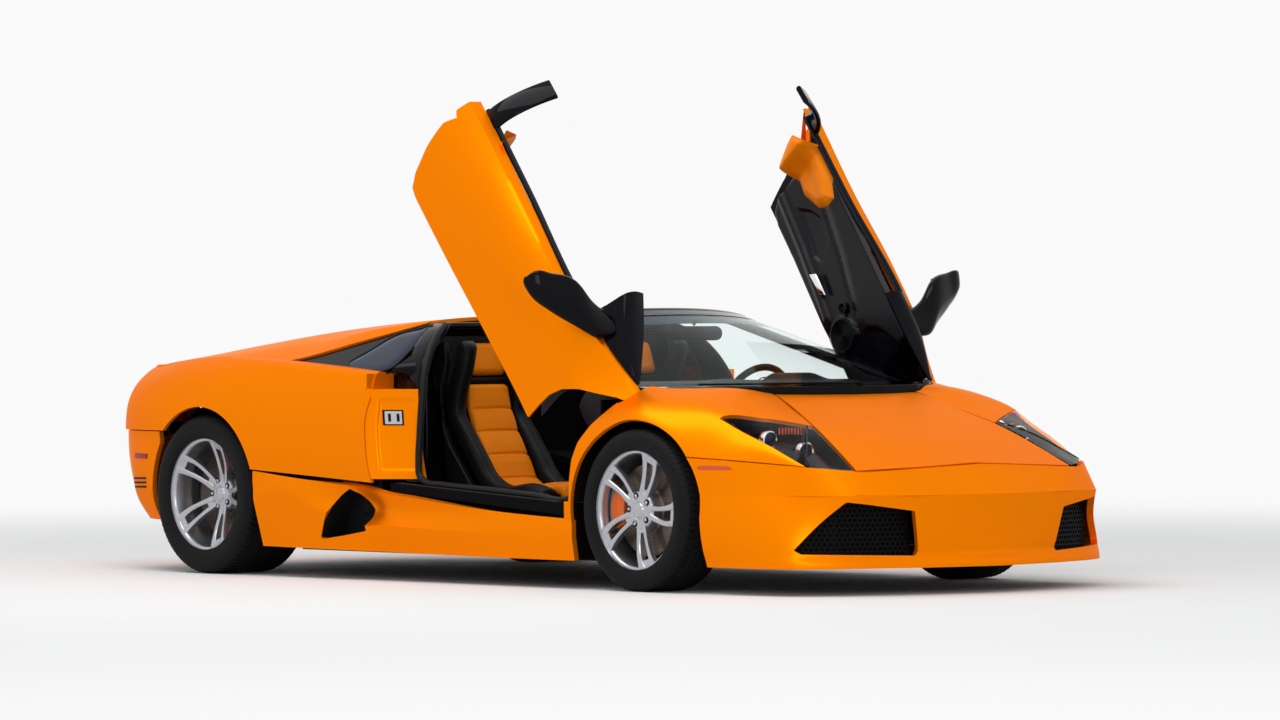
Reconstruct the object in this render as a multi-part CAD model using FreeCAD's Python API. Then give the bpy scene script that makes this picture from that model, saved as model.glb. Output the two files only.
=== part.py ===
import FreeCAD, Part
import math
import os

from FreeCAD import Vector

# A mid-engined two-seat roadster with scissor doors, drawn with both doors open.
# Units are millimetres. +X is forward, +Y is the car's left, +Z is up.
# The origin is on the ground at the middle of the car's length and width.

# Driving dimensions
LENGTH = 4610.0
NOSE_X = LENGTH / 2
FRONT_AXLE_X = 1235.0
REAR_AXLE_X = -1430.0
FRONT_HALF_TRACK = 817.5
REAR_HALF_TRACK = 847.5
FRONT_TYRE_R = 314.0
REAR_TYRE_R = 329.0
FRONT_TYRE_WIDTH = 245.0
REAR_TYRE_WIDTH = 335.0
FRONT_ARCH_R = 354.0
REAR_ARCH_R = 366.0
ARCH_OUT_Y = 1100.0
PANEL_GAP = 5.0
SKIN = 24.0
GLASS = 6.0

# Door hinge: one cross-car axis ahead of each door
HINGE_X = 1075.0
HINGE_Z = 775.0
DOOR_OPEN_DEG = 50.7
HINGE_NOTCH_R = 49.0

# Steering
KINGPIN_Y = 795.0
KINGPIN_R = 23.0
HUB_FACE = 44.0


def v(x, y, z):
    return Vector(float(x), float(y), float(z))


def face_of(points):
    return Part.Face(Part.makePolygon(points + [points[0]]))


def prism_x(outline_yz, x_low, x_high):
    return face_of([v(x_low, y, z) for y, z in outline_yz]).extrude(v(x_high - x_low, 0, 0))


def prism_y(outline_xz, y_low, y_high):
    return face_of([v(x, y_low, z) for x, z in outline_xz]).extrude(v(0, y_high - y_low, 0))


def prism_z(outline_xy, z_low, z_high):
    return face_of([v(x, y, z_low) for x, y in outline_xy]).extrude(v(0, 0, z_high - z_low))


def block(low, high):
    return Part.makeBox(high[0] - low[0], high[1] - low[1], high[2] - low[2], v(*low))


def cylinder_y(x, z, radius, y_low, y_high):
    return Part.makeCylinder(radius, y_high - y_low, v(x, y_low, z), v(0, 1, 0))


def cylinder_x(y, z, radius, x_low, x_high):
    return Part.makeCylinder(radius, x_high - x_low, v(x_low, y, z), v(1, 0, 0))


def mirrored(shape):
    return shape.mirror(v(0, 0, 0), v(0, 1, 0))


def both_sides(shape):
    return Part.Compound([shape, mirrored(shape)])


def fused(shapes):
    return shapes[0].fuse(shapes[1:]).removeSplitter()


def loft_between(sections):
    wires = [Part.makePolygon(points + [points[0]]) for points in sections]
    return Part.makeLoft(wires, True, True)


def x_sections(rows, inward, thickness, mirror_too=False):
    """Closed sections at constant x: the outer rail points, then the inner ones back again.
    thickness is one number or a function of x, and inward one (y, z) direction per rail."""
    sections = []
    for row in rows:
        x = row[0]
        depth = thickness(x) if callable(thickness) else thickness
        outer = [(row[i], row[i + 1]) for i in range(1, len(row), 2)]
        inner = [(y + dy * depth, z + dz * depth) for (y, z), (dy, dz) in zip(outer, inward)]
        if mirror_too:
            outer = [(-y, z) for y, z in reversed(outer[1:])] + outer
            inner = [(-y, z) for y, z in reversed(inner[1:])] + inner
        sections.append([v(x, y, z) for y, z in outer + inner[::-1]])
    return sections


def z_sections(levels, inward, shallow, deep):
    """Closed plan sections at constant z, the same on both sides of the car."""
    sections = []
    for level in levels:
        z = level[0]
        plan = [(level[i], level[i + 1]) for i in range(1, len(level), 2)]
        outer = [(x + dx * shallow, y + dy * shallow) for (x, y), (dx, dy) in zip(plan, inward)]
        inner = [(x + dx * deep, y + dy * deep) for (x, y), (dx, dy) in zip(plan, inward)]
        outer = [(x, -y) for x, y in reversed(outer[1:])] + outer
        inner = [(x, -y) for x, y in reversed(inner[1:])] + inner
        sections.append([v(x, y, z) for x, y in outer + inner[::-1]])
    return sections


# Bonnet. Columns: x, centre y and z, side shut line y and z
BONNET_ROWS = [
    (2230, 0, 467, 596, 405),
    (2107, 0, 519, 565, 471),
    (1935, 0, 590, 522, 560),
    (1770, 0, 650, 477, 636),
    (1690, 0, 678, 450, 665),
    (1440, 0, 757, 379, 752),
    (1390, 0, 766, 366, 763),
]
BONNET_INWARD = [(0, -1), (0, -1), (0, -1)]

# Front wing. Columns: x, then y and z at the bonnet line, crown, shoulder, upper side, widest, sill
FENDER_ROWS = [
    (2110, 571, 469, 640, 462, 690, 455, 700, 430, 705, 400, 706, 300),
    (2006, 545, 523, 640, 508, 716, 488, 735, 440, 750, 387, 790, 172),
    (1800, 491, 625, 640, 612, 752, 582, 800, 511, 825, 387, 872, 190),
    (1680, 452, 668, 630, 664, 770, 630, 850, 516, 872, 387, 893, 226),
    (1579, 423, 703, 620, 705, 789, 672, 885, 520, 900, 400, 905, 270),
    (1400, 374, 763, 610, 769, 806, 722, 905, 640, 935, 540, 938, 300),
    (1235, 345, 778, 600, 784, 800, 757, 905, 705, 948, 620, 950, 380),
    (1092, 560, 784, 660, 787, 773, 787, 890, 712, 945, 600, 948, 290),
    (943, 740, 788, 765, 789, 790, 790, 872, 715, 935, 590, 944, 200),
    (840, 740, 789, 770, 790, 802, 792, 882, 718, 932, 585, 944, 112),
]
FENDER_INWARD = [(0, -1), (0, -1), (-0.6, -1), (-1, -0.3), (-1, 0), (-1, 0)]

# Outlines seen from above, left half: where bonnet and wing stop before the cowl, and the lamp
COWL_LINE = [(1075, 775), (1180, 700), (1300, 570), (1414, 410), (1450, 200), (1462, 0)]
LAMP_OUTLINE = [(2140, 571), (2040, 735), (2006, 716), (1790, 757), (1579, 789), (1768, 482)]
LAMP_DEPTH = 70.0
LAMP_HOLLOW = 58.0
LAMP_COVER = 4.0
# Centres of the two projectors in each lamp, at the front of their barrels
PROJECTORS = [(1850, 585, 542), (1725, 660, 585)]
PROJECTOR_R = 36.0

# Shut line between nose section and everything above it, as y and z
NOSE_SHUT_LINE = [(0, 494), (565, 471), (716, 488), (850, 513), (915, 524), (1100, 530)]
NOSE_SHUT_END_X = 1500.0

# Nose section. Columns: z, then x and y of seven plan points from the centre to the wheel arch
NOSE_LEVELS = [
    (104, 2303, 0, 2262, 260, 2228, 400, 2110, 690, 1981, 828, 1750, 876, 1560, 884),
    (172, 2276, 0, 2252, 260, 2216, 420, 2090, 690, 1981, 827, 1750, 884, 1560, 903),
    (380, 2305, 0, 2282, 250, 2226, 500, 2145, 663, 1900, 795, 1750, 850, 1560, 900),
    (530, 2160, 0, 2143, 250, 2097, 565, 1996, 712, 1850, 776, 1680, 850, 1500, 915),
]
NOSE_INWARD = [(-1, 0), (-1, 0), (-1, -0.2), (-0.85, -0.6), (-0.5, -0.87), (-0.2, -1), (0, -1)]
NOSE_WALL = 34.0
INTAKE_OUTLINE = [(391, 320), (655, 357), (800, 176), (780, 160), (370, 150), (358, 165)]
INTAKE_BACK_X = 1870.0
# Plan line of the honeycomb behind the left intake
GRILLE_LINE = [(2178, 330), (2072, 655), (1905, 830)]
GRILLE_THICKNESS = 10.0
GRILLE_PITCH = 34.0
GRILLE_WEB = 8.0

# Windscreen: base and header curves through three points, left half given
SCREEN_BASE = (1050, 757, 786)
SCREEN_BASE_MID = (1385, 0, 788)
SCREEN_HEADER = (150, 573, 1063)
SCREEN_HEADER_MID = (345, 0, 1092)
HEADER_DEPTH = 46.0
HEADER_WALL = 30.0
COWL_TOP_Z = 784.0
COWL_LOW_Z = 748.0

# Door skin. Columns: x, then y and z at the belt, crest, shoulder, upper side, crease and lower edge
DOOR_ROWS = [
    (-400, 862, 842, 918, 842, 954, 772, 985, 650, 992, 505, 986, 350),
    (-300, 860, 840, 915, 838, 952, 770, 984, 650, 990, 508, 985, 350),
    (100, 857, 822, 906, 815, 948, 764, 976, 660, 980, 545, 972, 340),
    (500, 861, 813, 905, 805, 938, 756, 960, 670, 955, 578, 952, 328),
    (800, 835, 803, 872, 797, 905, 740, 930, 670, 940, 588, 938, 320),
    (943, 800, 797, 830, 792, 872, 728, 925, 650, 935, 590, 942, 320),
    (1125, 775, 791, 790, 788, 880, 712, 935, 640, 943, 600, 946, 320),
]
DOOR_INWARD = [(-0.45, -0.22), (-0.6, -0.4), (-1, -0.2), (-1, 0), (-1, 0), (-0.8, 0)]
# Side view of the door, closed: x and z
DOOR_OUTLINE = [
    (1116, 860), (1113, 775), (1102, 748), (1080, 737), (1024, 693), (964, 647), (906, 575),
    (878, 504), (869, 428), (865, 345), (-215, 401), (-256, 412), (-290, 470), (-322, 582),
    (-347, 751), (-346, 812), (-340, 870),
]
# Shut face between door and rear wing: a cone about the hinge axis, so that the door swings clear,
# up to a shelf, and a cylinder above it
SHUT_EDGE_Y = 976.0
SHUT_EDGE_R = 1422.0
SHUT_SLOPE = 1.25
SHUT_SHELF_Z = 780.0

# Sill skirt. Columns: x, then y and z at the top, the channel, the ledge and the bottom
SKIRT_ROWS = [
    (990, 945, 270, 950, 235, 952, 200, 944, 112),
    (300, 956, 303, 957, 262, 966, 212, 950, 113),
    (-100, 964, 338, 950, 275, 980, 220, 958, 116),
    (-263, 968, 352, 945, 280, 986, 225, 962, 118),
    (-420, 992, 384, 925, 290, 994, 225, 975, 119),
    (-480, 998, 390, 960, 300, 1004, 240, 985, 120),
    (-700, 1012, 414, 1014, 350, 1018, 300, 1000, 122),
    (-1070, 1020, 434, 1021, 350, 1022, 300, 1000, 125),
]
SKIRT_INWARD = [(-1, 0), (-1, 0), (-1, 0), (-1, 0)]
SKIRT_WALL = 42.0
SCOOP_OUTLINE = [(-428, 366), (-552, 326), (-612, 240), (-640, 160), (-400, 165), (-318, 236)]
SCOOP_IN_Y = 930.0

# Rear wing. Columns: x, then y and z at the deck line, crest, shoulder, upper side, widest, lower side
QUARTER_ROWS = [
    (-250, 893, 830, 917, 835, 953, 770, 984, 650, 991, 520, 985, 365),
    (-700, 884, 866, 925, 862, 968, 800, 1000, 680, 1006, 560, 1000, 395),
    (-1000, 882, 884, 925, 880, 975, 815, 1012, 700, 1021, 600, 1018, 400),
    (-1430, 875, 895, 888, 893, 970, 835, 1020, 730, 1029, 640, 1027, 330),
    (-1750, 836, 881, 850, 879, 935, 825, 995, 720, 1012, 640, 1003, 330),
    (-2000, 785, 856, 803, 850, 880, 795, 940, 710, 955, 630, 940, 330),
    (-2085, 767, 848, 780, 842, 850, 790, 903, 710, 918, 630, 905, 330),
]
QUARTER_INWARD = [(0, -1), (-0.5, -1), (-1, -0.4), (-1, -0.1), (-1, 0), (-1, 0)]
SKIRT_SHUT_LINE = [(-1200, 440), (-1067, 437), (-319, 395), (-176, 364), (-176, 60), (-1200, 60)]
QUARTER_REAR_X = -2085.0

# Rear deck. Columns: x, then y and z at the centre, cover edge, crease and outer edge
DECK_ROWS = [
    (-420, 0, 1062, 430, 1056, 606, 1042, 614, 1036),
    (-700, 0, 1050, 430, 1040, 672, 1008, 748, 960),
    (-997, 0, 1030, 430, 1018, 688, 962, 874, 884),
    (-1430, 0, 992, 430, 980, 690, 930, 868, 896),
    (-1790, 0, 945, 430, 935, 650, 905, 828, 880),
    (-2085, 0, 893, 430, 887, 622, 870, 761, 850),
    (-2262, 0, 866, 430, 862, 560, 856, 640, 842),
]
DECK_INWARD = [(0, -1), (0, -1), (0, -1), (0, -1)]
COVER_HALF_WIDTH = 430.0
COVER_FRONT_X = -560.0
COVER_REAR_X = -2150.0
LOUVRE_COUNT = 6
LOUVRE_FIRST_X = -780.0
LOUVRE_PITCH = 130.0
LOUVRE_OPENING = 84.0
LOUVRE_HALF = 300.0

# Tail. Columns: z, then x and y of six plan points from the centre to the wheel arch
TAIL_LEVELS = [
    (215, -2190, 0, -2182, 300, -2150, 600, -2080, 752, -1960, 885, -1730, 975),
    (300, -2240, 0, -2235, 300, -2210, 600, -2140, 768, -1990, 925, -1730, 1000),
    (400, -2290, 0, -2284, 300, -2260, 620, -2190, 780, -2000, 940, -1730, 1003),
    (560, -2305, 0, -2298, 300, -2275, 650, -2215, 790, -2020, 938, -1730, 1004),
    (670, -2300, 0, -2295, 300, -2280, 650, -2215, 780, -2020, 933, -1740, 1004),
    (860, -2262, 0, -2262, 300, -2240, 560, -2170, 680, -2000, 790, -1800, 822),
]
TAIL_INWARD = [(1, 0), (1, 0), (1, -0.1), (0.75, -0.65), (0.4, -0.9), (0, -1)]
TAIL_WALL = 34.0
TAIL_SHUT_Z = 590.0
REAR_GRILLE_PITCH = 44.0


def door_thickness(x):
    """The door is as thick as its wall, and thins to the skin by the hinge."""
    full = 112.0
    thin = 26.0
    if x <= 800:
        return full
    return max(thin, full - (x - 800) * (full - thin) / 150)


def front_arch():
    return cylinder_y(FRONT_AXLE_X, 310, FRONT_ARCH_R, 520, ARCH_OUT_Y)


def rear_arch():
    return cylinder_y(REAR_AXLE_X, 325, REAR_ARCH_R, 480, ARCH_OUT_Y)


def below_front_arch():
    """Clears the panel between the arch and the ground ahead of and behind the wheel."""
    return prism_y([(903, 0), (884, 300), (1588, 300), (1625, 0)], 520, ARCH_OUT_Y)


def below_rear_arch():
    return prism_y([(-1752, 0), (-1735, 215), (-1790, 325), (-1064, 325), (-1025, 133), (-1015, 0)],
                   480, ARCH_OUT_Y)


def nose_zone(above, gap):
    """Everything ahead of the front wheel that lies above or below the nose shut line."""
    side = [(y, z + gap) for y, z in NOSE_SHUT_LINE]
    far_z = 1200 if above else -50
    outline = [(-y, z) for y, z in reversed(side[1:])] + side + [(1100, far_z), (-1100, far_z)]
    return prism_x(outline, NOSE_SHUT_END_X, NOSE_X + 200)


def cowl_zone(gap):
    half = [(x + gap, y + gap * 0.5) for x, y in COWL_LINE[:-1]]
    centre = [(COWL_LINE[-1][0] + gap, 0)]
    other = [(x, -y) for x, y in reversed(half)]
    return prism_z(half + centre + other + [(600, -830), (600, 830)], 500, 900)


def door_prism(offset, y_low, y_high):
    wire = Part.makePolygon([v(x, y_low, z) for x, z in DOOR_OUTLINE + [DOOR_OUTLINE[0]]])
    if offset:
        wire = wire.makeOffset2D(offset)
    return Part.Face(wire).extrude(v(0, y_high - y_low, 0))


def door_swing_zone(gap):
    """What lies nearer the hinge axis than the shut face at the door's rear."""
    radial_gap = gap * math.hypot(1, SHUT_SLOPE)
    low_r, high_r = [SHUT_EDGE_R + SHUT_SLOPE * (y - SHUT_EDGE_Y) + radial_gap
                     for y in (700, ARCH_OUT_Y)]
    cone = Part.makeCone(low_r, high_r, ARCH_OUT_Y - 700, v(HINGE_X, 700, HINGE_Z), v(0, 1, 0))
    cone = cone.common(block((-700, 700, 0), (HINGE_X, ARCH_OUT_Y, SHUT_SHELF_Z)))
    upper = cylinder_y(HINGE_X, HINGE_Z, SHUT_EDGE_R + gap, 700, ARCH_OUT_Y)
    upper = upper.common(block((-700, 700, SHUT_SHELF_Z - gap), (HINGE_X, ARCH_OUT_Y, 1200)))
    ahead = block((HINGE_X - 1, 700, 0), (HINGE_X + 200, ARCH_OUT_Y, 1200))
    return cone.fuse([upper, ahead])


def open_door(shape):
    """Turn a door piece, drawn closed, to the open position in which the car is drawn."""
    turned = shape.copy()
    turned.rotate(v(HINGE_X, 0, HINGE_Z), v(0, 1, 0), DOOR_OPEN_DEG)
    return turned


# Front body

def bonnet():
    rows = []
    for x, y0, z0, y1, z1 in BONNET_ROWS:
        side_y = y1 - PANEL_GAP
        rows.append((x, y0, z0, side_y / 2, z0 - (z0 - z1) / 4, side_y, z1))
    skin = loft_between(x_sections(rows, BONNET_INWARD, SKIN, mirror_too=True))
    return skin.common(nose_zone(True, PANEL_GAP / 2)).cut(cowl_zone(PANEL_GAP))


def lamp_solid(depth, inset):
    """What lies under the lamp outline, as deep as given below the wing's surface."""
    skin = loft_between(x_sections(FENDER_ROWS, FENDER_INWARD, depth))
    outline = prism_z(grown(LAMP_OUTLINE, -inset) if inset else LAMP_OUTLINE, 300, 900)
    upper = prism_y([(2300, 440), (2300, 800), (1560, 800), (1560, 560), (1800, 500), (2000, 440)],
                    300, 1000)
    return largest(skin.common(outline).common(nose_zone(True, PANEL_GAP / 2 + inset)).common(upper))


def headlamp_cover():
    return lamp_solid(LAMP_COVER, 0)


def headlamp():
    """Black bowl with two round projectors, open under the clear cover."""
    bowl = lamp_solid(LAMP_DEPTH, 0).cut(headlamp_cover()).cut(lamp_solid(LAMP_HOLLOW, 9))
    projectors = []
    for x, y, z in PROJECTORS:
        barrel = Part.makeCylinder(PROJECTOR_R, 120, v(x - 120, y, z), v(1, 0, 0))
        barrel = barrel.cut(Part.makeCylinder(PROJECTOR_R - 9, 14, v(x - 12, y, z), v(1, 0, 0)))
        lens = Part.makeSphere(PROJECTOR_R, v(x - 32, y, z)).common(
            Part.makeCylinder(PROJECTOR_R - 8.5, 26, v(x - 14, y, z), v(1, 0, 0)))
        projectors.append(fused([barrel, lens]).common(lamp_solid(LAMP_DEPTH, 4)).cut(
            lamp_solid(LAMP_COVER + 6, 0)))
    return largest(fused([bowl] + projectors))


def fender():
    skin = loft_between(x_sections(FENDER_ROWS, FENDER_INWARD, SKIN))
    skin = skin.cut(nose_zone(False, PANEL_GAP / 2)).cut(cowl_zone(0))
    skin = skin.cut(prism_z(grown(LAMP_OUTLINE, 3), 300, 900))
    skin = skin.cut(front_arch()).cut(below_front_arch())
    skin = skin.cut(door_prism(PANEL_GAP, 600, ARCH_OUT_Y))
    skin = skin.cut(cylinder_y(HINGE_X, HINGE_Z, HINGE_NOTCH_R, 700, ARCH_OUT_Y))
    return largest(skin)


def grown(outline, distance):
    wire = Part.makePolygon([v(x, y, 0) for x, y in outline + [outline[0]]])
    return [(p.x, p.y) for p in (vertex.Point for vertex in
                                 wire.makeOffset2D(distance, 2).OrderedVertexes)]


def largest(shape):
    return max(shape.Solids, key=lambda solid: solid.Volume)


def front_bumper():
    skin = loft_between(z_sections(NOSE_LEVELS, NOSE_INWARD, 0, NOSE_WALL))
    skin = skin.common(nose_zone(False, -PANEL_GAP / 2))
    for cutter in (front_arch(), below_front_arch(), intake(0)):
        skin = skin.cut(cutter).cut(mirrored(cutter))
    return largest(skin)


def intake(margin):
    outline = grown(INTAKE_OUTLINE, margin) if margin else INTAKE_OUTLINE
    return prism_x(outline, INTAKE_BACK_X, NOSE_X + 50)


def honeycomb(length, low, high, pitch, web):
    """Six-sided holes for a plate that stands on the X axis, as bars across its thickness."""
    radius = (pitch - web) / math.sqrt(3)
    row_rise = pitch * math.sqrt(3) / 2
    holes = []
    for row in range(int((high - low) / row_rise) + 1):
        for column in range(int(length / pitch) + 1):
            x = (column + 0.5 * (row % 2)) * pitch
            z = low + row * row_rise
            corners = [(x + radius * math.sin(turn), z + radius * math.cos(turn))
                       for turn in (math.radians(60 * k) for k in range(6))]
            holes.append(prism_y(corners, -30, 30))
    return Part.Compound(holes)


def intake_grilles():
    """Honeycomb in two flat leaves behind each intake, bent at a corner like the nose."""
    leaves = []
    for (x0, y0), (x1, y1) in zip(GRILLE_LINE[:-1], GRILLE_LINE[1:]):
        length = math.hypot(x1 - x0, y1 - y0)
        leaf = block((-4, 0, 130), (length + 4, GRILLE_THICKNESS, 380))
        leaf = leaf.cut(honeycomb(length, 135, 375, GRILLE_PITCH, GRILLE_WEB))
        leaf.rotate(v(0, 0, 0), v(0, 0, 1), math.degrees(math.atan2(y1 - y0, x1 - x0)))
        leaf.translate(v(x0, y0, 0))
        leaves.append(leaf)
    sheet = fused(leaves).common(intake(14))
    return both_sides(largest(sheet.cut(front_bumper())))


def cowl_panel():
    half = [(x - PANEL_GAP, y - 10) for x, y in COWL_LINE[:-1]]
    centre = [(COWL_LINE[-1][0] - PANEL_GAP, 0)]
    other = [(x, -y) for x, y in reversed(half)]
    plate = prism_z([(1000, 735)] + half + centre + other + [(1000, -735)], COWL_LOW_Z, COWL_TOP_Z)
    return largest(plate.cut(glass_and_above()).cut(windscreen_frame()))


# Windscreen

def arc_point(corner, middle, y):
    """A point of the cross-car curve through the two corners and the middle, at this y."""
    sagitta = middle[0] - corner[0]
    radius = (corner[1] ** 2 + sagitta ** 2) / (2 * sagitta)
    x = middle[0] - radius + math.sqrt(radius ** 2 - y ** 2)
    z = middle[2] - (middle[2] - corner[2]) * (y / corner[1]) ** 2
    return x, z


def screen_edges(y):
    """Base and top of the glass at this y. Past the header the top edge is the pillar line."""
    width = abs(y)
    base = arc_point(SCREEN_BASE, SCREEN_BASE_MID, width)
    if width <= SCREEN_HEADER[1]:
        return base, arc_point(SCREEN_HEADER, SCREEN_HEADER_MID, width)
    part = (width - SCREEN_HEADER[1]) / (SCREEN_BASE[1] - SCREEN_HEADER[1])
    return base, tuple(SCREEN_HEADER[i] + part * (SCREEN_BASE[i] - SCREEN_HEADER[i]) for i in (0, 2))


def across(section_at, stations):
    """Loft a side-view section from the car's right to its left."""
    places = [-y for y in reversed(stations[1:])] + stations
    return loft_between([[v(x, y, z) for x, z in section_at(y)] for y in places])


SCREEN_STATIONS = [0, 200, 390, 573, 640, 700, 740, 751]


def screen_solid(drop, rise):
    def section(y):
        (x0, z0), (x1, z1) = screen_edges(y)
        return [(x0, z0 + rise), (x1, z1 + rise), (x1, z1 - drop), (x0, z0 - drop)]
    return across(section, SCREEN_STATIONS)


def windscreen():
    return screen_solid(GLASS, 0)


def glass_and_above():
    return screen_solid(GLASS + 0.2, 150)


def windscreen_frame():
    def header_section(y):
        x, z = arc_point(SCREEN_HEADER, SCREEN_HEADER_MID, abs(y))
        return [(x - 1, z), (x - HEADER_DEPTH, z - 2), (x - HEADER_DEPTH, z - HEADER_WALL),
                (x - 1, z - HEADER_WALL)]
    header = across(header_section, SCREEN_STATIONS[:4])
    pillar_foot = [(700, 737), (757, 737), (757, 781), (700, 781)]
    pillar_top = [(530, 1026), (577, 1026), (577, 1060), (530, 1066)]
    pillar = loft_between([[v(1030, y, z) for y, z in pillar_foot],
                           [v(104, y, z) for y, z in pillar_top]])
    pillar = largest(pillar.cut(glass_and_above()))
    return fused([header, pillar, mirrored(pillar)])


def wiper():
    """Parked wiper on the cowl, along the foot of the glass."""
    sections = []
    for y in (-600, -450, -300, -150, 0, 90):
        x, z = arc_point(SCREEN_BASE, SCREEN_BASE_MID, abs(y))
        reach = 9 if y < 60 else 16
        sections.append([v(x + 14, y, COWL_TOP_Z), v(x + 14 + 2 * reach, y, COWL_TOP_Z),
                         v(x + 14 + 1.4 * reach, y, COWL_TOP_Z + 15), v(x + 18, y, COWL_TOP_Z + 15)])
    return loft_between(sections)


# Cabin

def cabin_tub():
    floor = block((-470, -770, 112), (850, 770, 150))
    footwell_floor = block((840, -WHEELHOUSE_Y, 112), (1040, WHEELHOUSE_Y, 150))
    front_wall = prism_y([(985, 140), (1040, 140), (1040, 746), (1000, 746)],
                         -WHEELHOUSE_Y, WHEELHOUSE_Y)
    rear_wall = prism_y([(-500, 112), (-440, 112), (-432, 1004), (-480, 1004)], -600, 600)
    rear_low = block((-500, -790, 112), (-440, 790, 760))
    tunnel = prism_x([(-135, 140), (-110, 390), (110, 390), (135, 140)], -450, 990)
    wheelhouse = block((850, WHEELHOUSE_Y - 16, 112), (866, 770, 735))
    footwell_side = block((855, WHEELHOUSE_Y - 16, 112), (1010, WHEELHOUSE_Y, 735))
    sill = loft_between([[v(-262, y, z + dz) for y, z, dz in SILL_SECTION],
                         [v(836, y, z) for y, z, dz in SILL_SECTION]])
    sides = [fused([wheelhouse, footwell_side, sill])]
    sides.append(mirrored(sides[0]))
    tub = fused([floor, footwell_floor, front_wall, rear_wall, rear_low, tunnel] + sides)
    return largest(tub.cut(dashboard()))


# Sill under the door opening. Columns: y, z at its front end, rise to its rear end
SILL_SECTION = [(760, 114, 0), (900, 114, 0), (900, 282, 74), (940, 286, 74), (940, 334, 60),
                (760, 334, 60)]
WHEELHOUSE_Y = 520.0


def cabin_rear_frame():
    pillar = loft_between([
        [v(-182, 800, 415), v(-182, 846, 415), v(-300, 846, 415), v(-300, 800, 415)],
        [v(-190, 790, 730), v(-190, 842, 730), v(-330, 842, 730), v(-330, 790, 730)],
        [v(-318, 548, 1036), v(-318, 596, 1036), v(-412, 596, 1036), v(-412, 548, 1036)],
    ])
    cross = prism_y([(-412, 1000), (-412, 1036), (-318, 1036), (-318, 1012)], -572, 572)
    hoop = headrest_hoop()
    return fused([pillar, mirrored(pillar), cross, hoop, mirrored(hoop)])


def headrest_hoop():
    outer = [(250, 760), (250, 960), (300, 1015), (520, 1015), (572, 960), (572, 760)]
    inner = [(290, 740), (290, 945), (318, 975), (502, 975), (532, 945), (532, 740)]
    return prism_x(outer, -430, -407).cut(prism_x(inner, -440, -400))


DASH_HALF_WIDTH = 660.0


def dashboard():
    profile = [(984, 590), (998, 740), (880, 790), (705, 806), (610, 778), (560, 705), (640, 600),
               (720, 548)]
    return prism_y(profile, -DASH_HALF_WIDTH, DASH_HALF_WIDTH)


def centre_console():
    profile = [(-420, 392), (-420, 520), (-60, 470), (300, 450), (570, 640), (640, 596), (718, 546),
               (760, 392)]
    return prism_y(profile, -105, 105)


def seat():
    profile = [(330, 152), (345, 350), (300, 390), (-110, 335), (-170, 400), (-335, 940),
               (-345, 985), (-388, 992), (-404, 950), (-300, 300), (-240, 152)]
    bolster = [(290, 200), (300, 400), (200, 425), (-60, 400), (-110, 470), (-270, 880),
               (-350, 900), (-300, 300), (-200, 200)]
    return fused([prism_y(profile, 214, 570), prism_y(bolster, 170, 232),
                  prism_y(bolster, 560, 640)])


MIRROR_X = 517.0
MIRROR_TURN_DEG = -14.6


def interior_mirror():
    """Hangs from the windscreen, turned towards the driver."""
    stalk = loft_between([
        [v(503, -13, 1060), v(533, -13, 1060), v(533, 13, 1060), v(503, 13, 1060)],
        [v(512, -9, 1000), v(530, -9, 1000), v(530, 9, 1000), v(512, 9, 1000)],
    ])
    head = prism_y([(505, 966), (526, 957), (534, 1012), (510, 1022)], -127, 127)
    head.rotate(v(MIRROR_X, 0, 0), v(0, 0, 1), MIRROR_TURN_DEG)
    return fused([stalk.cut(glass_and_above()), head])


STEERING_WHEEL_CENTRE = v(452, 385, 690)
STEERING_WHEEL_AXIS = v(-0.93, 0, 0.37)
STEERING_WHEEL_R = 172.0


def steering_wheel():
    turn = [math.radians(angle) for angle in range(0, 360, 60)]
    section = [v(STEERING_WHEEL_R + 15 * math.cos(t), 0, 15 * math.sin(t)) for t in turn]
    rim = face_of(section).revolve(v(0, 0, 0), v(0, 0, 1), 360)
    rim.rotate(v(0, 0, 0), v(0, 1, 0), -math.degrees(math.atan2(0.93, 0.37)))
    rim.translate(STEERING_WHEEL_CENTRE)
    hub = Part.makeCylinder(52, 40, STEERING_WHEEL_CENTRE - STEERING_WHEEL_AXIS * 40,
                            STEERING_WHEEL_AXIS)
    shapes = [rim, hub]
    for angle in (0, 180, 270):
        spoke = block((-8, -14, 40), (8, 14, STEERING_WHEEL_R))
        tilt = math.degrees(math.atan2(0.37, 0.93))
        spoke.rotate(v(0, 0, 0), v(1, 0, 0), angle - 90)
        spoke.rotate(v(0, 0, 0), v(0, 1, 0), tilt)
        spoke.translate(STEERING_WHEEL_CENTRE - STEERING_WHEEL_AXIS * 8)
        shapes.append(spoke)
    return fused(shapes)


def steering_column():
    start = STEERING_WHEEL_CENTRE - STEERING_WHEEL_AXIS * 46
    column = Part.makeCylinder(34, 190, start, STEERING_WHEEL_AXIS * -1)
    return column.cut(dashboard())


# Doors, drawn closed on the car's left

def door_solid(rows, inward, thickness):
    return loft_between(x_sections(rows, inward, thickness))


def door_shell():
    solid = door_solid(DOOR_ROWS, DOOR_INWARD, door_thickness)
    solid = solid.common(door_prism(0, 600, ARCH_OUT_Y))
    return largest(solid.common(door_swing_zone(0)))


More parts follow.
